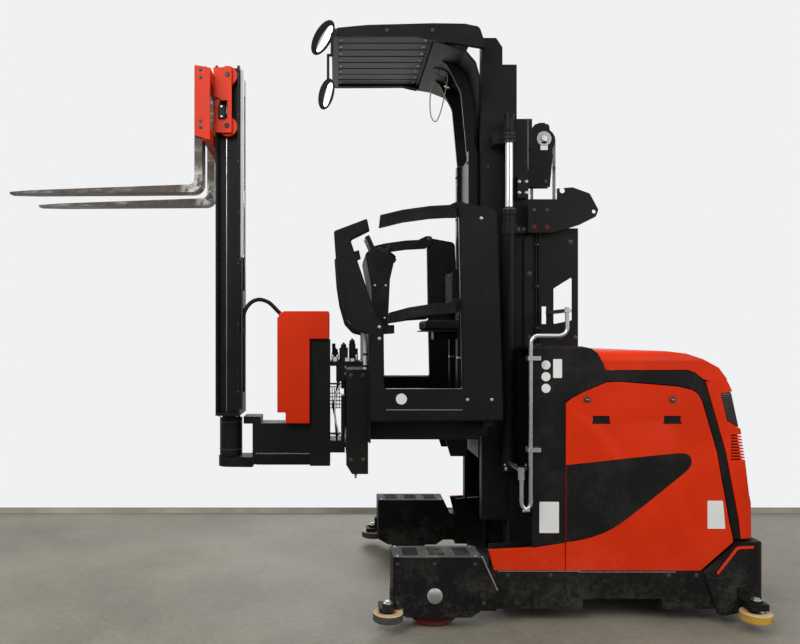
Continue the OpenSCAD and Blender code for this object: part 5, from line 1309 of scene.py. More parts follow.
@dataclass
class Mast:
    """Fasteners, pipes and rings on the main mast, its supports and its cylinders."""

    cylinder_x: float = 0.878
    cylinder_y: float = 0.44
    barrel_top: float = 2.451
    support_face: float = 0.4103
    wing_face: float = 0.4653
    cross_x: float = 1.0341
    cross_z: tuple = (0.224, 1.273, 2.233, 2.943)
    inner_cross_x: float = 0.9521
    inner_cross_z: tuple = (0.575, 1.575, 2.575, 3.325)
    pipe_x: tuple = (1.052, 1.072)
    clip_z: tuple = (1.72, 1.98, 2.24)
    pulley_x: float = 1.215
    pulley_z: float = 3.013
    cheek_face: float = 0.031

    def cylinders(self, sign: int, side: str) -> None:
        """Adds glands, rod caps, clamp rings and clamp screws to one lift cylinder.

        Args:
            sign: -1 for the left and 1 for the right.
            side: the side's name.
        """
        y = sign * self.cylinder_y
        gland = [(26.2, 0), (40, 0), (41.5, 1.5), (41.5, 10), (40, 11.5), (30, 12.5), (28.5, 16.5),
                 (26.2, 16.5)]
        turned(f"gland_{side}", gland, [(self.cylinder_x, y, self.barrel_top)], (0, 0, 1), "chassis",
               Finish.IRON, 40)
        wiper = [(25.5, 0), (29, 0), (29.5, 3), (27, 5), (25.5, 5)]
        turned(f"wiper_{side}", wiper, [(self.cylinder_x, y, self.barrel_top + 0.0165)], (0, 0, 1), "chassis",
               Finish.RUBBER, 40)
        sleeve = [(25.2, 0), (33.5, 0), (34.5, 1.5), (34.5, 30), (33, 32), (30, 34), (30, 100), (32, 102),
                  (32, 118), (30, 121), (25.2, 121)]
        turned(f"rod_sleeve_{side}", sleeve, [(self.cylinder_x, y, 2.93)], (0, 0, 1), "inner_mast",
               Finish.BLACK, 40)
        cap = [(0, 0), (21.5, 0), (22.5, 1.2), (22.5, 10), (20, 12.5), (0, 12.5)]
        turned(f"rod_cap_{side}", cap, [(self.cylinder_x, y, 3.0098)], (0, 0, 1), "inner_mast", Finish.IRON,
               6)
        groove = [(41.2, 0), (42.5, 1), (42.5, 4), (41.2, 5)]
        turned(f"clamp_rings_{side}", groove, [(self.cylinder_x, y, z) for z in (2.8725, 2.8985, 2.9225)],
               (0, 0, 1), "inner_mast", Finish.IRON, 40)
        seam = [(38.2, 0), (39.8, 1.2), (39.8, 6), (38.2, 7.2)]
        turned(f"barrel_seams_{side}", seam, [(self.cylinder_x, y, z) for z in (0.905, 2.285, 2.385)],
               (0, 0, 1), "chassis", Finish.BLACK, 40)
        bolts(f"barrel_clamp_screws_{side}", [(0.936, sign * 0.4326, 2.334), (0.975, sign * 0.4326, 2.334)],
              (0, sign, 0), "chassis", 0.0085, Finish.IRON)
        feet = [(self.cylinder_x + shift, y + sign * 0.03, 0.8722) for shift in (-0.034, 0.034)]
        bolts(f"foot_screws_{side}", feet, (0, 0, 1), "chassis", 0.0065)

    def foot(self) -> None:
        """Adds the bracket under the left cylinder's foot, its bolts and its studs."""
        bar("foot_bracket", (0.83, -0.486, 0.83), (0.99, -0.478, 0.869), "chassis", Finish.BLACK, 0.002)
        bolts("foot_bracket_bolts", [(0.85, -0.486, 0.85), (0.97, -0.486, 0.85)], (0, -1, 0), "chassis",
              0.0075)
        studs = [(0, 0), (8.5, 0), (8.5, 6), (4.8, 6.4), (4.8, 13), (0, 13)]
        turned("foot_bracket_studs", studs, [(x, -0.482, 0.869) for x in (0.845, 0.972)], (0, 0, 1),
               "chassis", Finish.ZINC, 6)

    def supports(self, sign: int, side: str) -> None:
        """Adds pipes with clips, wing bolts and frame bolts to one support.

        Args:
            sign: -1 for the left and 1 for the right.
            side: the side's name.
        """
        y = sign * (self.support_face + 0.0072)
        for index, x in enumerate(self.pipe_x):
            path = np.array([[x, y, 1.6115], [x, y, 1.7], [x, y, 1.9], [x, y, 2.1], [x, y, 2.319]])
            tube(f"mast_pipe_{side}_{index}", path, 0.0065, "chassis", Finish.BLACK, 16)
            collar = [(6.6, 0), (10.5, 0), (11, 1.2), (11, 12), (6.6, 13)]
            turned(f"pipe_collar_{side}_{index}", collar, [(x, y, 1.6085), (x, y, 2.306)], (0, 0, 1),
                   "chassis", Finish.IRON, 6)
        for index, z in enumerate(self.clip_z):
            low, high = span(sign, self.support_face, self.support_face + 0.0165)
            bar(f"pipe_clip_{side}_{index}", (1.04, low, z - 0.008), (1.084, high, z + 0.008), "chassis",
                Finish.PANEL, 0.002)
        screws = [(1.062, sign * (self.support_face + 0.0165), z) for z in self.clip_z]
        bolts(f"pipe_clip_screws_{side}", screws, (0, sign, 0), "chassis", 0.0045, Finish.IRON)
        bolts(f"wing_bolts_{side}", [(x, sign * self.wing_face, 2.342) for x in (1.027, 1.108)], (0, sign, 0),
              "chassis", 0.0105, Finish.RED_TREAD)
        bolts(f"wing_upper_bolts_{side}", [(x, sign * self.wing_face, 2.448) for x in (1.027, 1.108)],
              (0, sign, 0), "chassis", 0.0085, Finish.IRON)
        places = [(x, sign * self.support_face, z) for x, z in
                  ((1.012, 1.66), (1.012, 2.06), (1.2, 1.66), (1.27, 2.26), (1.3, 1.66))]
        bolts(f"support_bolts_{side}", places, (0, sign, 0), "chassis", 0.0095, Finish.IRON)

    def crossings(self) -> None:
        """Adds bolts to the cross members of both masts."""
        outer = [(self.cross_x, y, z) for z in self.cross_z for y in (-0.34, -0.2, 0.2, 0.34)]
        bolts("outer_cross_bolts", outer, (1, 0, 0), "chassis", 0.0105, Finish.IRON)
        inner = [(self.inner_cross_x, y, z) for z in self.inner_cross_z for y in (-0.28, -0.16, 0.16, 0.28)]
        bolts("inner_cross_bolts", inner, (1, 0, 0), "inner_mast", 0.0095, Finish.IRON)
        for sign, side in SIDES:
            faces = [(0.9445, sign * 0.4291, 2.565), (0.9895, sign * 0.4291, 2.565),
                     (0.9445, sign * 0.4291, 2.634), (0.9895, sign * 0.4291, 2.634)]
            bolts(f"stop_block_bolts_{side}", faces, (0, sign, 0), "chassis", 0.0065)
            rivets = [(0.77, sign * 0.3372, z) for z in (1.1, 1.65, 2.2, 2.75)]
            bolts(f"channel_studs_{side}", rivets, (0, sign, 0), "inner_mast", 0.0055, Finish.IRON)

    def pulley(self) -> None:
        """Adds the nuts of the chain pulley's axle, its bracket's bolts and the chain anchors' nuts."""
        for sign, side in SIDES:
            rim = [(34, 0), (50, 0), (50.5, 0.6), (49, 2.2), (35, 2.2), (34, 1.2)]
            turned(f"pulley_rim_{side}", rim, [(self.pulley_x, sign * self.cheek_face, self.pulley_z)],
                   (0, sign, 0), "chassis", Finish.RAIL, 56)
            hub = [(0, 0), (20, 0), (20.4, 1), (19, 6), (0, 6.6)]
            middle = (self.pulley_x, sign * (self.cheek_face + 0.004), self.pulley_z)
            turned(f"pulley_hub_{side}", hub, [middle], (0, sign, 0), "chassis", Finish.ZINC, 32)
            guard = round_corners(box(1.19, 2.935, 1.24, 2.99), 0.004)
            ends = span(sign, self.cheek_face, self.cheek_face + 0.0012)
            plate(f"pulley_window_{side}", guard, "xz", *ends, "chassis", Finish.ZINC, 0.0004)
            low, high = span(sign, 0.4286, 0.4296)
            greased = box(0.996, 2.7, 1.002, 3.03)
            plate(f"greased_line_{side}", greased, "xz", low, high, "chassis", Finish.CHAIN, 0.0002)
            places = [(x, sign * 0.0311, z) for x, z in ((1.065, 2.72), (1.065, 2.9), (1.225, 2.72))]
            bolts(f"pulley_bracket_bolts_{side}", places, (0, sign, 0), "chassis", 0.0085, Finish.IRON)
        bolts("anchor_nuts", [(1.139, 0.0, 2.5895), (1.291, 0.0, 2.513)], (0, 0, -1), "chassis", 0.0075)

    def build(self) -> None:
        """Builds the mast's pieces."""
        for sign, side in SIDES:
            self.cylinders(sign, side)
            self.supports(sign, side)
        self.foot()
        self.crossings()
        self.pulley()


@dataclass
class Pads:
    """The seat: padded cushion and backrest on their shells, post and legs."""

    seat_low: Triple = (0.3697, -0.208, 1.7085)
    seat_high: Triple = (0.6397, 0.208, 1.7775)
    back_low: Triple = (0.57, -0.19, 1.838)
    back_high: Triple = (0.628, 0.19, 2.128)
    crown: float = 0.01
    inset: float = 0.01
    pull_start: float = 0.6
    swell_share: float = 0.8
    reach_limit: float = 0.01
    voxel: float = 0.006
    frames: int = 20
    pressure: float = 4.0

    def cushion(self, name: str, low: Triple, high: Triple, flat: int) -> None:
        """The block's sides pull in between its corners by the crown times a cosine of the place along them,
        and its flat sides swell by the product of both cosines.

        Args:
            name: the pad's name.
            low, high: corners of the space that the CAD solid holds.
            flat: the axis along which it is thin.
        """
        start = np.asarray(low, dtype=float) + self.inset
        end = np.asarray(high, dtype=float) - self.inset
        steps = [14, 22, 14]
        steps[flat] = 4
        lines = [np.linspace(start[k], end[k], steps[k]) for k in range(3)]
        work = bmesh.new()
        grid = {}
        for i, x in enumerate(lines[0]):
            for j, y in enumerate(lines[1]):
                for k, z in enumerate(lines[2]):
                    if i in (0, steps[0] - 1) or j in (0, steps[1] - 1) or k in (0, steps[2] - 1):
                        grid[(i, j, k)] = work.verts.new((x, y, z))
        for axis in range(3):
            first, second = [k for k in range(3) if k != axis]
            for layer in (0, steps[axis] - 1):
                for a in range(steps[first] - 1):
                    for b in range(steps[second] - 1):
                        corners = []
                        for da, db in ((0, 0), (1, 0), (1, 1), (0, 1)):
                            key = [0, 0, 0]
                            key[axis] = layer
                            key[first] = a + da
                            key[second] = b + db
                            corners.append(grid[tuple(key)])
                        work.faces.new(corners)
        middle = (start + end) / 2
        half = (end - start) / 2
        for vert in work.verts:
            place = np.array(vert.co)
            share = (place - middle) / half
            others = [k for k in range(3) if k != flat]
            for k in others:
                other = others[0] if k == others[1] else others[1]
                if abs(share[k]) > self.pull_start:
                    depth = (abs(share[k]) - self.pull_start) / (1 - self.pull_start)
                    pull = self.crown * math.cos(share[other] * math.pi / 2) * depth
                    vert.co[k] -= math.copysign(pull, share[k])
            middle_share = math.cos(share[others[0]] * math.pi / 2) * math.cos(share[others[1]] * math.pi / 2)
            swell = self.crown * middle_share
            vert.co[flat] += math.copysign(swell * self.swell_share, share[flat])
        bmesh.ops.recalc_face_normals(work, faces=work.faces)
        mesh = bpy.data.meshes.new(name)
        work.to_mesh(mesh)
        work.free()
        pad = new_object(name, mesh)
        self.swell(pad, np.asarray(low, dtype=float) + 0.001, np.asarray(high, dtype=float) - 0.001)
        pad.data.materials.clear()
        pad.data.materials.append(Finish.CLOTH.material())
        pad.data.shade_smooth()
        smooth = pad.modifiers.new("rounding", "SUBSURF")
        smooth.levels = 1
        smooth.render_levels = 1
        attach(pad, "cab")
        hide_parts("seat")

    def swell(self, pad: bpy.types.Object, low: np.ndarray, high: np.ndarray) -> None:
        """Remeshes a pad and blows it up a little with cloth pressure, held inside its space.

        Args:
            pad: the pad.
            low, high: corners that no point may pass.
        """
        bpy.context.view_layer.objects.active = pad
        remesh = pad.modifiers.new("remesh", "REMESH")
        remesh.mode = "VOXEL"
        remesh.voxel_size = self.voxel
        self.settle(pad)
        before = np.array([vertex.co[:] for vertex in pad.data.vertices])
        cloth = pad.modifiers.new("cloth", "CLOTH")
        cloth.settings.use_pressure = True
        cloth.settings.uniform_pressure_force = self.pressure
        cloth.settings.effector_weights.gravity = 0.0
        cloth.settings.quality = 5
        scene = bpy.context.scene
        cloth.point_cache.frame_start = 1
        cloth.point_cache.frame_end = self.frames
        for number in range(1, self.frames + 1):
            scene.frame_set(number)
        self.settle(pad)
        scene.frame_set(1)
        after = np.array([vertex.co[:] for vertex in pad.data.vertices])
        step = after - before
        length = np.linalg.norm(step, axis=1, keepdims=True)
        reach = np.minimum(1.0, self.reach_limit / np.maximum(length, 1e-9))
        held = np.clip(before + step * reach, low, high)
        pad.data.vertices.foreach_set("co", held.astype(np.float32).ravel())
        pad.data.update()
        LOG.info("swelled %s", pad.name)

    def settle(self, pad: bpy.types.Object) -> None:
        """Turns a pad's modifiers into its mesh.

        Args:
            pad: the pad.
        """
        bpy.context.view_layer.update()
        graph = bpy.context.evaluated_depsgraph_get()
        made = bpy.data.meshes.new_from_object(pad.evaluated_get(graph))
        pad.modifiers.clear()
        pad.data = made

    def frame(self) -> None:
        """Makes the shells, the post, its bracket and the legs with their bands."""
        shell = round_corners([(0.372, -0.196), (0.6397, -0.206), (0.6397, 0.206), (0.372, 0.196)], 0.05, 8)
        plate("seat_shell", shell, "xy", 1.7, 1.7085, "cab", Finish.PANEL, 0.003)
        bar("back_shell", (0.6281, -0.186, 1.844), (0.63, 0.186, 2.122), "cab", Finish.PANEL, 0.0005)
        bar("seat_post", (0.6301, -0.06, 1.588), (0.6599, 0.06, 2.0), "cab", Finish.BLACK, 0.004)
        bar("seat_bracket", (0.4597, -0.06, 1.648), (0.6301, 0.06, 1.7), "cab", Finish.BLACK, 0.004)
        for sign, side in SIDES:
            low, high = span(sign, 0.15, 0.18)
            bar(f"seat_leg_{side}", (0.5997, low, 1.1935), (0.6297, high, 1.7), "cab", Finish.BLACK, 0.004)
            bar(f"leg_band_{side}", (0.5985, low - 0.0012, 1.52), (0.6309, high + 0.0012, 1.534), "cab",
                Finish.ZINC, 0.001)
        bolts("seat_post_bolts", [(0.63, y, z) for y in (-0.042, 0.042) for z in (1.74, 1.8)], (-1, 0, 0),
              "cab", 0.0075, Finish.IRON)
        for part in ("seat_shell", "back_shell"):
            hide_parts("seat")

    def build(self) -> None:
        """Builds the seat."""
        self.cushion("seat_cushion", self.seat_low, self.seat_high, 2)
        self.cushion("back_cushion", self.back_low, self.back_high, 0)
        self.frame()


@dataclass
class Cab:
    """Trim, controls, lamp, mirror glasses and fasteners of the cab and its guard."""

    face_y: float = 0.76
    knob_centre: Triple = (0.121, -0.165, 2.1933)
    knob_tilt: float = math.radians(30)
    screen_foot: Triple = (0.057, 0.0, 2.2313)
    screen_tilt: float = math.radians(-24)
    vault_tilt: float = math.radians(21.6)
    hole_centre: Triple = (0.524, 0.0, 3.4722)
    lamp_centre: Triple = (0.5774, 0.046, 3.4138)
    slat_y: tuple = tuple(-0.43 + 0.1075 * (index + 0.5) for index in range(8))
    hinge_x: float = 0.504
    mirror_turn: float = -62.0
    glass_depth: float = 0.0222
    glass_width: float = 0.46
    glass_height: float = 0.78
    glass_shift: float = 0.22
    mirror_heads: tuple = (((-0.289, -0.472, 3.512), 0.056, 0.118, 30.0),
                           ((-0.269, -0.472, 3.162), 0.05, 0.098, 16.0))

    def panels(self, sign: int, side: str) -> None:
        """Adds one side's raised low panel with painted highlights on its edges, bare disc and screws.

        Args:
            sign: -1 for the left and 1 for the right.
            side: the side's name.
        """
        out = sign * self.face_y
        near, far = sorted((out, out + sign * 0.0028))
        panel = round_corners([(0.088, 1.242), (0.532, 1.242), (0.536, 1.352), (0.084, 1.352)], 0.004)
        plate(f"side_panel_{side}", panel, "xz", near, far, "cab", Finish.CHARCOAL, 0.001)
        # painted highlight: a pale zinc strip where light catches the raised panel's lower edge
        low, high = sorted((out + sign * 0.0012, out + sign * 0.0036))
        worn = round_corners(box(0.09, 1.24, 0.53, 1.2432), 0.001)
        plate(f"side_panel_highlight_{side}", worn, "xz", low, high, "cab", Finish.ZINC, 0.0004)
        # painted highlight: a pale zinc strip where light catches the top edge of the sill
        sill = box(0.092, 1.3622, 0.53, 1.364)
        plate(f"sill_highlight_{side}", sill, "xz", *sorted((out - sign * 0.01, out - sign * 0.0005)), "cab",
              Finish.ZINC, 0.0004)
        disc = [(0, 0), (31, 0), (31.8, 0.5), (31, 1.1), (0, 1.1)]
        turned(f"side_disc_{side}", disc, [(0.178, out + sign * 0.0028, 1.304)], (0, sign, 0), "cab",
               Finish.BLANK, 48)
        screws = [(0.051, out, 1.7206), (0.051, out, 1.6535), (0.56, out, 1.3), (0.7, out, 1.3),
                  (0.64, out, 2.35)]
        bolts(f"frame_screws_{side}", screws, (0, sign, 0), "cab", 0.0062)
        slab = round_corners(box(0.3, 1.244, 0.5, 1.25), 0.002)
        plate(f"panel_grip_{side}", slab, "xz", *sorted((out + sign * 0.0026, out + sign * 0.0042)), "cab",
              Finish.PANEL, 0.0008)

    def gates(self) -> None:
        """Runs a raised line along the outer face of each gate bar and a hub over each hinge."""
        for sign, side in SIDES:
            for part, top, reach in (("upper", 2.431, 0.452), ("lower", 1.865, 0.402)):
                body = f"gate_{part}_{side}"
                y = sign * 0.7522
                far = self.hinge_x - reach
                marks = [(self.hinge_x - 0.024, y, top - 0.018),
                         (self.hinge_x - reach * 0.35, y, top - 0.025),
                         (self.hinge_x - reach * 0.7, y, top - 0.047), (far + 0.014, y, top - 0.078)]
                tube(f"{body}_line", smooth_path(marks, 40), 0.0016, body, Finish.CHARCOAL, 10)
                cap = [(0, 0), (16, 0), (16.8, 0.8), (16, 4), (7, 5.2), (0, 5.2)]
                turned(f"{body}_hub", cap, [(0.53, sign * 0.6998, top)], (0, -sign, 0), "cab",
                       Finish.IRON, 32)
                ends = span(sign, 0.7235, 0.7505)
                tip = [(far - 0.0035, top - 0.132), (far + 0.001, top - 0.1335),
                       (far + 0.0105, top - 0.0615), (far + 0.005, top - 0.0605)]
                plate(f"{body}_tip", tip, "xz", *ends, body, Finish.RUBBER, 0.001)

    def guard(self) -> None:
        """Adds slat screws, flange screws, the hole's collar, the lamp's glass and the mirrors' glasses."""
        rows = [(x, y, 3.542) for x in (-0.17, 0.368) for y in self.slat_y]
        bolts("slat_screws", rows, (0, 0, -1), "cab", 0.0062)
        for sign, side in SIDES:
            places = [(x, sign * 0.4601, 3.566) for x in (-0.205, 0.117, 0.4)]
            bolts(f"flange_screws_{side}", places, (0, sign, 0), "cab", 0.0075, Finish.IRON)
            lip = np.array([[-0.222, sign * 0.46, 3.53], [-0.1, sign * 0.46, 3.53],
                            [0.1, sign * 0.46, 3.531], [0.297, sign * 0.46, 3.5325],
                            [0.36, sign * 0.46, 3.517], [0.401, sign * 0.46, 3.508]])
            tube(f"flange_bead_{side}", lip, 0.004, "cab", Finish.CHARCOAL, 12)
        down = (-math.sin(self.vault_tilt), 0.0, -math.cos(self.vault_tilt))
        collar = [(57.5, -1), (65, -1), (66, 1), (63, 5.2), (58.5, 5.8), (57.5, 4)]
        turned("hole_collar", collar, [self.hole_centre], down, "cab", Finish.CHARCOAL, 56)
        foot = np.asarray(self.lamp_centre) + 0.0215 * np.asarray(down)
        glass = [(0, 0), (21.5, 0), (22, 1.2), (18, 5), (9, 7.2), (0, 7.8)]
        turned("lamp_glass", glass, [tuple(foot)], down, "cab", Finish.LAMP, 40)
        rim = [(22.2, -3), (25.2, -3), (25.5, 2.2), (23.8, 4), (22.2, 3)]
        turned("lamp_rim", rim, [tuple(foot)], down, "cab", Finish.BLACK, 40)
        for index, (centre, width, height, tilt) in enumerate(self.mirror_heads):
            self.mirror_glass(index, centre, width, height, math.radians(tilt))

    def mirror_glass(self, index: int, centre: Triple, width: float, height: float, tilt: float) -> None:
        """Sets a slightly domed oval glass in one mirror's rim.

        A ring at the share s of the oval, at angle t, stands at centre + s (width cos t a + height sin t b)
        + dome (1 - s^2) n, where n is the way the mirror faces.

        Args:
            index: the mirror's number.
            centre: the middle of the shell's back.
            width, height: half the oval each way.
            tilt: how far the mirror leans.
        """
        turn = math.radians(self.mirror_turn)
        facing = np.array([math.cos(turn) * math.cos(tilt), math.sin(turn), -math.cos(turn) * math.sin(tilt)])
        upward = np.array([math.sin(tilt), 0.0, math.cos(tilt)])
        across = np.cross(upward, facing)
        middle = np.asarray(centre) + self.glass_depth * facing + self.glass_shift * width * across
        shares = np.array([1.0, 0.97, 0.8, 0.6, 0.4, 0.2, 0.02])
        angles = np.linspace(0, math.tau, 48, endpoint=False)
        oval = (width * self.glass_width * np.cos(angles)[:, None] * across
                + height * self.glass_height * np.sin(angles)[:, None] * upward)
        rings = [middle + oval]
        for share in shares:
            rings.append(middle + share * oval + (0.0012 + 0.0022 * (1 - share ** 2)) * facing)
        points = np.vstack(rings)
        faces = grid_faces(len(shares) + 1, 48, False, True).tolist()
        faces.append(list(range(48)))
        faces.append([len(shares) * 48 + k for k in range(48)])
        add_piece(f"mirror_glass_{index}", points, faces, "cab", Finish.MIRROR)

    def tilted(self, foot: Triple, tilt: float, local: np.ndarray) -> np.ndarray:
        """Points given in a frame that leans about Y, brought into the truck's frame.

        Args:
            foot: the frame's origin.
            tilt: how far it leans.
            local: points in it.

        Returns:
            The points in the truck's frame.
        """
        x = local[:, 0] * math.cos(tilt) + local[:, 2] * math.sin(tilt)
        z = local[:, 2] * math.cos(tilt) - local[:, 0] * math.sin(tilt)
        return np.asarray(foot) + np.stack([x, local[:, 1], z], axis=1)

    def slab(self, name: str, foot: Triple, tilt: float, low: Triple, high: Triple, finish: Finish,
             edge: float = 0.001) -> None:
        """Block in a leaning frame.

        Args:
            name, finish, edge: as for any piece.
            foot, tilt: the leaning frame.
            low, high: corners in it.
        """
        corners = np.array([[(low, high)[i][0], (low, high)[j][1], (low, high)[k][2]]
                            for i in (0, 1) for j in (0, 1) for k in (0, 1)])
        faces = [[0, 1, 3, 2], [4, 6, 7, 5], [0, 4, 5, 1], [2, 3, 7, 6], [0, 2, 6, 4], [1, 5, 7, 3]]
        add_piece(name, self.tilted(foot, tilt, corners), faces, "cab", finish, edge)

    def controls(self) -> None:
        """Adds the steering knob's rings, the grip's cap, the display's glass, its keys and the buttons."""
        up = np.array([math.sin(self.knob_tilt), 0.0, math.cos(self.knob_tilt)])
        centre = np.asarray(self.knob_centre)
        rim = [(64, 0), (77.5, 0), (78.2, 1.2), (77, 3.2), (70, 4.8), (64, 5.2)]
        turned("steering_rim", rim, [tuple(centre + 0.02 * up)], tuple(up), "cab", Finish.RUBBER, 56)
        dish = [(0, 0), (56, 0), (57, 1), (56, 2.4), (46, 3), (44, 1.6), (0, 1.6)]
        turned("steering_dish", dish, [tuple(centre + 0.038 * up)], tuple(up), "cab", Finish.PANEL, 56)
        spin = self.tilted(self.knob_centre, self.knob_tilt, np.array([[0.0, 0.044, 0.074]]))[0]
        cap = [(0, 0), (19.5, 0), (21.5, 2.2), (21.5, 8.5), (18, 12.5), (8, 14.2), (0, 14.4)]
        turned("steering_knob", cap, [tuple(spin)], tuple(up), "cab", Finish.RUBBER, 40)
        skirt = [(20.5, 0), (26, 0), (26.2, 1), (22.5, 10), (20.5, 10.5)]
        root = self.tilted(self.knob_centre, self.knob_tilt, np.array([[0.0, 0.044, 0.0385]]))[0]
        turned("steering_knob_skirt", skirt, [tuple(root)], tuple(up), "cab", Finish.PANEL, 40)
        grip = np.array([0.121, 0.15, 2.1833])
        bellows = [(18.2, 0), (30, 0), (30.5, 2), (26, 5), (29, 8), (25, 11), (27.5, 14), (23.5, 17),
                   (25.5, 20), (21.5, 23), (18.2, 24)]
        turned("grip_bellows", bellows, [tuple(grip + 0.004 * up)], tuple(up), "cab", Finish.RUBBER, 40)
        button = [(0, 0), (9, 0), (9.4, 1), (8, 4), (0, 4.6)]
        turned("grip_button", button, [tuple(grip + 0.1065 * up)], tuple(up), "cab", Finish.RED_TREAD, 32)
        self.slab("display_frame", self.screen_foot, self.screen_tilt, (0.0139, -0.104, 0.006),
                  (0.0162, 0.104, 0.114), Finish.PANEL, 0.0015)
        self.slab("display_glass", self.screen_foot, self.screen_tilt, (0.0161, -0.09, 0.034),
                  (0.0172, 0.09, 0.106), Finish.DISPLAY, 0.0004)
        for index in range(6):
            y = -0.0875 + 0.035 * index
            self.slab(f"display_key_{index}", self.screen_foot, self.screen_tilt, (0.0161, y - 0.012, 0.013),
                      (0.0182, y + 0.012, 0.025), Finish.COVER_TOP, 0.0012)
        slope = np.array([0.53, 0.0, 0.848])
        places = [(0.132, y, 2.1912) for y in (-0.045, -0.015, 0.015, 0.045)]
        bezel = [(0, -2), (11.8, -2), (12.4, 1), (11.2, 2.2), (8.6, 2.2), (8.4, 5.2), (7, 6.6), (0, 6.8)]
        turned("console_buttons", bezel, places, tuple(slope), "cab", Finish.PANEL, 32)
        seam = [(0.031, 1.76), (0.128, 1.76), (0.138, 2.02), (0.034, 2.02)]
        for sign, side in SIDES:
            ends = span(sign, 0.3, 0.3022)
            plate(f"console_cheek_{side}", round_corners(seam, 0.012), "xz", *ends, "cab", Finish.PANEL,
                  0.001)
            screws = [(x, sign * 0.3022, z) for x, z in
                      ((0.05, 1.785), (0.112, 1.785), (0.05, 1.995), (0.12, 1.995))]
            bolts(f"console_screws_{side}", screws, (0, sign, 0), "cab", 0.0048)

    def inside(self) -> None:
        """Adds the floor mat, the tower's screws, and the pale conduit in front of the cab."""
        mat = round_corners(box(0.16, -0.7, 0.588, 0.7), 0.02)
        plate("floor_mat", mat, "xy", 1.193, 1.1975, "cab", Finish.RUBBER, 0.0015)
        ribs = np.linspace(-0.66, 0.66, 45)
        for half, rows in enumerate((ribs[:23], ribs[23:])):
            points = []
            faces = []
            for y in rows:
                base = len(points)
                for x in (0.175, 0.573):
                    points += [(x, y - 0.005, 1.1974), (x, y + 0.005, 1.1974), (x, y + 0.002, 1.1995),
                               (x, y - 0.002, 1.1995)]
                faces += [[base + k, base + (k + 1) % 4, base + 4 + (k + 1) % 4,
                           base + 4 + k] for k in range(4)]
                faces += [[base, base + 1, base + 2, base + 3], [base + 4, base + 5, base + 6, base + 7]]
            add_piece(f"mat_ribs_{half}", np.array(points), faces, "cab", Finish.RUBBER)
        bolts("tower_screws", [(0.66, y, z) for y in (-0.22, 0.22) for z in (1.3, 2.2, 2.5, 2.8)],
              (-1, 0, 0), "cab", 0.0075, Finish.IRON)
        marks = [(-0.128, -0.64, 1.79), (-0.116, -0.63, 1.7586), (-0.08, -0.622, 1.73),
                 (-0.046, -0.62, 1.7), (-0.028, -0.62, 1.665), (-0.0262, -0.62, 1.62),
                 (-0.0262, -0.62, 1.54), (-0.0262, -0.62, 1.4702)]
        path = smooth_path(marks, 120)
        along = np.linspace(0, 1, 120)
        tube("cab_conduit", path, 0.0115 + 0.0009 * np.sin(along * math.tau * 38), "cab", Finish.GREY, 18)
        for index, z in enumerate((1.56, 1.49)):
            bar(f"conduit_clip_{index}", (-0.039, -0.633, z - 0.006), (-0.0091, -0.607, z + 0.006), "cab",
                Finish.PANEL, 0.002)
        bar("conduit_bracket", (-0.14, -0.716, 1.782), (-0.116, -0.628, 1.798), "cab", Finish.PANEL, 0.002)

    def build(self) -> None:
        """Builds the cab's pieces."""
        for sign, side in SIDES:
            self.panels(sign, side)
        self.gates()
        self.guard()
        self.controls()
        self.inside()


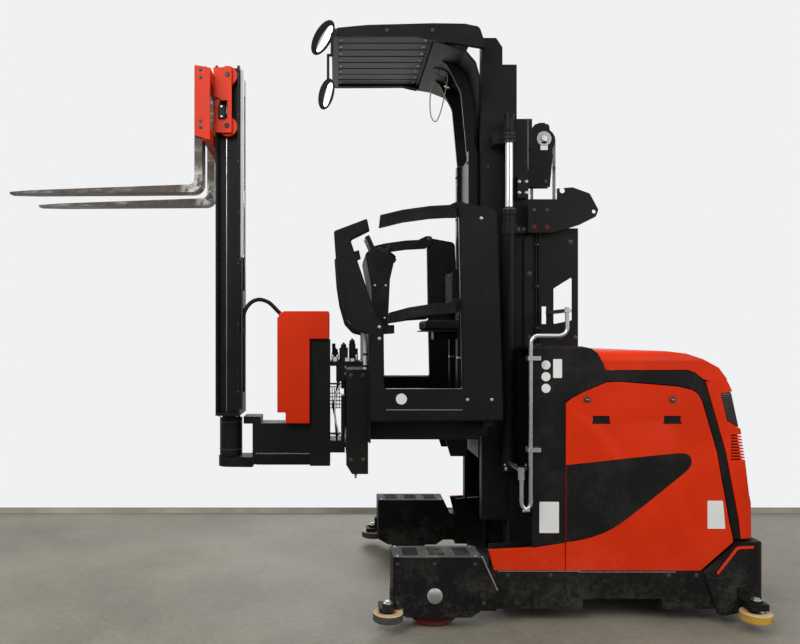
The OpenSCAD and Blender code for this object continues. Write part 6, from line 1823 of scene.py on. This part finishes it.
@dataclass
class Head:
    """Valves, fittings, cables and fasteners on the traverse head and its frame."""

    plate_top: float = 1.5003
    arm_y: float = 0.11
    axis_x: float = -0.9173
    axis_x: float = -0.9173

    def fittings(self) -> None:
        """Adds hexagon fittings, white plugs and coil caps on the slide plate."""
        hexagon = [(0, 0), (13, 0), (13.8, 1.2), (13.8, 12), (12.8, 13.5), (0, 13.5)]
        neck = [(0, 13), (8.2, 13), (8.2, 30), (9.6, 31), (9.6, 40), (7, 44), (0, 44)]
        places = [(-0.222, -0.098, self.plate_top), (-0.19, -0.102, self.plate_top),
                  (-0.062, -0.098, self.plate_top)]
        turned("fitting_nuts", hexagon, places, (0, 0, 1), "head", Finish.BRASS, 6)
        turned("fitting_necks", neck, places, (0, 0, 1), "head", Finish.ZINC, 28)
        for index, (x, y, wide, tall) in enumerate(((-0.205, -0.108, 0.022, 0.03),
                                                    (-0.124, -0.112, 0.03, 0.024),
                                                    (-0.09, -0.114, 0.024, 0.02))):
            bar(f"white_plug_{index}", (x - wide / 2, y - 0.008, self.plate_top),
                (x + wide / 2, y + 0.01, self.plate_top + tall), "head", Finish.WHITE_PART, 0.002)
        for index, (x, y, z) in enumerate(((-0.206, -0.015, 1.5592), (-0.148, -0.01, 1.5912),
                                           (-0.089, 0.02, 1.6192))):
            ring = [(0, 0), (18.5, 0), (19, 1), (19, 20), (17, 23), (9, 23.5), (8.5, 30), (0, 30)]
            turned(f"coil_cap_{index}", ring, [(x, y, z)], (0, 0, 1), "head", Finish.BLACK, 32)
            nut = [(0, 0), (7.5, 0), (7.5, 5.5), (0, 5.8)]
            turned(f"coil_nut_{index}", nut, [(x, y, z + 0.0298)], (0, 0, 1), "head", Finish.ZINC, 6)
        places = [(x, y, self.plate_top) for x, y in ((-0.028, -0.104), (-0.028, 0.104), (-0.225, 0.104))]
        bolts("slide_plate_bolts", places, (0, 0, 1), "head", 0.0085)

    def cables(self) -> None:
        """Runs the short fixed cables from the slide down to the arm, and the pierced plate by them."""
        routes = ((-0.062, 0.0065, Finish.WHITE_PART, 0.0), (-0.08, 0.005, Finish.BLACK, 0.006),
                  (-0.096, 0.006, Finish.RUBBER, -0.005), (-0.108, 0.0042, Finish.WHITE_PART, 0.008))
        for index, (y, radius, finish, shift) in enumerate(routes):
            marks = [(-0.183 + shift, y, 1.3681), (-0.187 + shift, y - 0.002, 1.33),
                     (-0.205, y - 0.006, 1.27), (-0.214 + shift, y - 0.004, 1.2), (-0.206, y, 1.12),
                     (-0.195 + shift, y + 0.004, 1.04), (-0.19 + shift, y + 0.006, 0.9721)]
            tube(f"head_cable_{index}", smooth_path(marks, 60), radius, "head", finish, 14)
        columns = (-0.229, -0.213, -0.197, -0.181)
        for index, x in enumerate(columns):
            bar(f"pierced_upright_{index}", (x, -0.044, 1.18), (x + 0.006, -0.041, 1.33), "head",
                Finish.BLACK, 0.0004)
        for index, z in enumerate((1.18, 1.205, 1.23, 1.255, 1.28, 1.324)):
            bar(f"pierced_rung_{index}", (-0.2391, -0.0439, z), (-0.1661, -0.0411, z + 0.006), "head",
                Finish.BLACK, 0.0004)
        for index, z in enumerate((1.345, 1.01)):
            bar(f"cable_clamp_{index}", (-0.222, -0.1165, z), (-0.168, -0.054, z + 0.01), "head",
                Finish.PANEL, 0.002)
            bar(f"cable_clamp_foot_{index}", (-0.2393, -0.1, z), (-0.22, -0.07, z + 0.01), "head",
                Finish.PANEL, 0.001)

    def fasteners(self) -> None:
        """Adds bolts and fittings to the traverse frame, the arm's rubbed edge and the drum's fasteners."""
        for sign, side in SIDES:
            ends = [(x, sign * 0.655, z) for x in (-0.112, -0.04) for z in (0.935, 1.435)]
            bolts(f"end_plate_bolts_{side}", ends, (0, sign, 0), "cab", 0.0085, Finish.IRON)
            low, high = span(sign, self.arm_y, self.arm_y + 0.0012)
            rubbed = box(-0.735, 0.8812, -0.3, 0.8872)
            plate(f"arm_rubbed_edge_{side}", rubbed, "xz", low, high, "head", Finish.RAIL, 0.0003)
            drain = [(0, 0), (11, 0), (11, 8), (7.5, 9), (7.5, 26), (0, 26)]
            turned(f"frame_drain_{side}", drain, [(-0.083, sign * 0.64, 0.8502)], (0, 0, -1), "cab",
                   Finish.BRASS, 6)
        places = [(self.axis_x + x, y, 1.1419) for x in (-0.058, 0.058) for y in (-0.135, 0.135)]
        bolts("drum_flange_bolts", places, (0, 0, -1), "swivel_mast", 0.0095)
        seams = [(76.2, 0), (77.8, 1.2), (77.8, 6), (76.2, 7.2)]
        turned("drum_seams", seams, [(self.axis_x, 0.0, z) for z in (0.9, 1.085)], (0, 0, 1), "swivel_mast",
               Finish.IRON, 64)
        cap = [(0, 0), (19, 0), (19.6, 1), (18, 6), (0, 6.6)]
        turned("swivel_pin_cap", cap, [(self.axis_x, 0.0, 0.79)], (0, 0, -1), "head", Finish.IRON, 32)

    def build(self) -> None:
        """Builds the head's pieces."""
        self.fittings()
        self.cables()
        self.fasteners()


@dataclass
class ForkSide:
    """What is on the swivelling mast and the fork carriage."""

    pin_x: float = -0.9173
    pin_z: tuple = (3.057, 3.394)
    front_y: float = 0.307

    def mast(self) -> None:
        """Adds the rubbed line in each channel, the light grey cover behind the mast as a painted highlight,
        and its screws.
        """
        for sign, side in SIDES:
            ends = span(sign, 0.117, 0.1186)
            line = box(-0.9325, 1.17, -0.9285, 3.452)
            plate(f"rubbed_line_{side}", line, "xz", *ends, "swivel_mast", Finish.RAIL, 0.0003)
            screws = [(-0.8453, sign * 0.1651, z) for z in (1.3, 1.75, 2.15, 2.486, 2.826, 3.137, 3.4)]
            bolts(f"rear_edge_screws_{side}", screws, (0, sign, 0), "swivel_mast", 0.0042, Finish.IRON)
        # painted highlight: the cover is light grey to stand for the highlight along the mast's rear
        bar("mast_cover", (-0.8371, -0.15, 2.19), (-0.816, -0.095, 3.44), "swivel_mast", Finish.GREY, 0.006)
        bar("mast_cover_slot", (-0.8165, -0.13, 2.215), (-0.8152, -0.115, 2.56), "swivel_mast",
            Finish.RUBBER, 0.0005)
        bolts("mast_cover_screws", [(-0.816, -0.1225, z) for z in (2.64, 2.98, 3.4)], (1, 0, 0),
              "swivel_mast", 0.0045)
        ring = [(32.2, 0), (36, 0), (36.5, 1.5), (36.5, 20), (35, 21.5), (20.5, 24), (20.5, 18), (32.2, 18)]
        turned("aux_gland", ring, [(-0.9273, 0.0, 2.325)], (0, 0, 1), "swivel_mast", Finish.IRON, 40)

    def carriage(self) -> None:
        """Adds pin caps, the sensor with its lead, and bolts to the red plates."""
        cap = [(0, 0), (16.5, 0), (17.2, 0.8), (16, 3.2), (8, 4), (7.5, 1.6), (0, 1.6)]
        for sign, side in SIDES:
            turned(f"pin_caps_{side}", cap, [(self.pin_x, sign * 0.1902, z) for z in self.pin_z],
                   (0, sign, 0), "fork_head", Finish.IRON, 36)
            places = [(-1.07, sign * self.front_y, z) for z in (3.01, 3.05, 3.33, 3.38)]
            bolts(f"carriage_bolts_{side}", places, (0, sign, 0), "fork_head", 0.0085, Finish.IRON)
        bar("sensor", (-0.974, -0.205, 3.0985), (-0.928, -0.1871, 3.188), "fork_head", Finish.BLACK, 0.004)
        bolts("sensor_screws", [(-0.951, -0.205, z) for z in (3.11, 3.176)], (0, -1, 0), "fork_head", 0.0042)
        bar("sensor_bracket", (-1.006, -0.202, 3.17), (-0.996, -0.16, 3.248), "fork_head", Finish.IRON, 0.002)
        marks = [(-0.996, -0.1935, 3.228), (-0.984, -0.196, 3.236), (-0.966, -0.197, 3.23),
                 (-0.956, -0.197, 3.208), (-0.952, -0.196, 3.1878)]
        tube("sensor_lead", smooth_path(marks, 40), 0.0032, "fork_head", Finish.RUBBER, 12)
        for sign, side in SIDES:
            bolts(f"fork_stop_{side}", [(-1.1132, sign * 0.229, 3.345)], (-1, 0, 0), "fork_head", 0.0115,
                  Finish.IRON)

    def build(self) -> None:
        """Builds the fork side's pieces."""
        self.mast()
        self.carriage()


def main() -> None:
    """Builds the studio, the cords and every piece of the truck."""
    logging.basicConfig(level=logging.INFO, format="%(message)s")
    for part in (Studio(), Cords(), Dressing(), Doors(), Chassis(), Mast(), Pads(), Cab(), Head(),
                 ForkSide()):
        part.build()
        LOG.info("built %s", type(part).__name__)


if __name__ == "__main__":
    main()
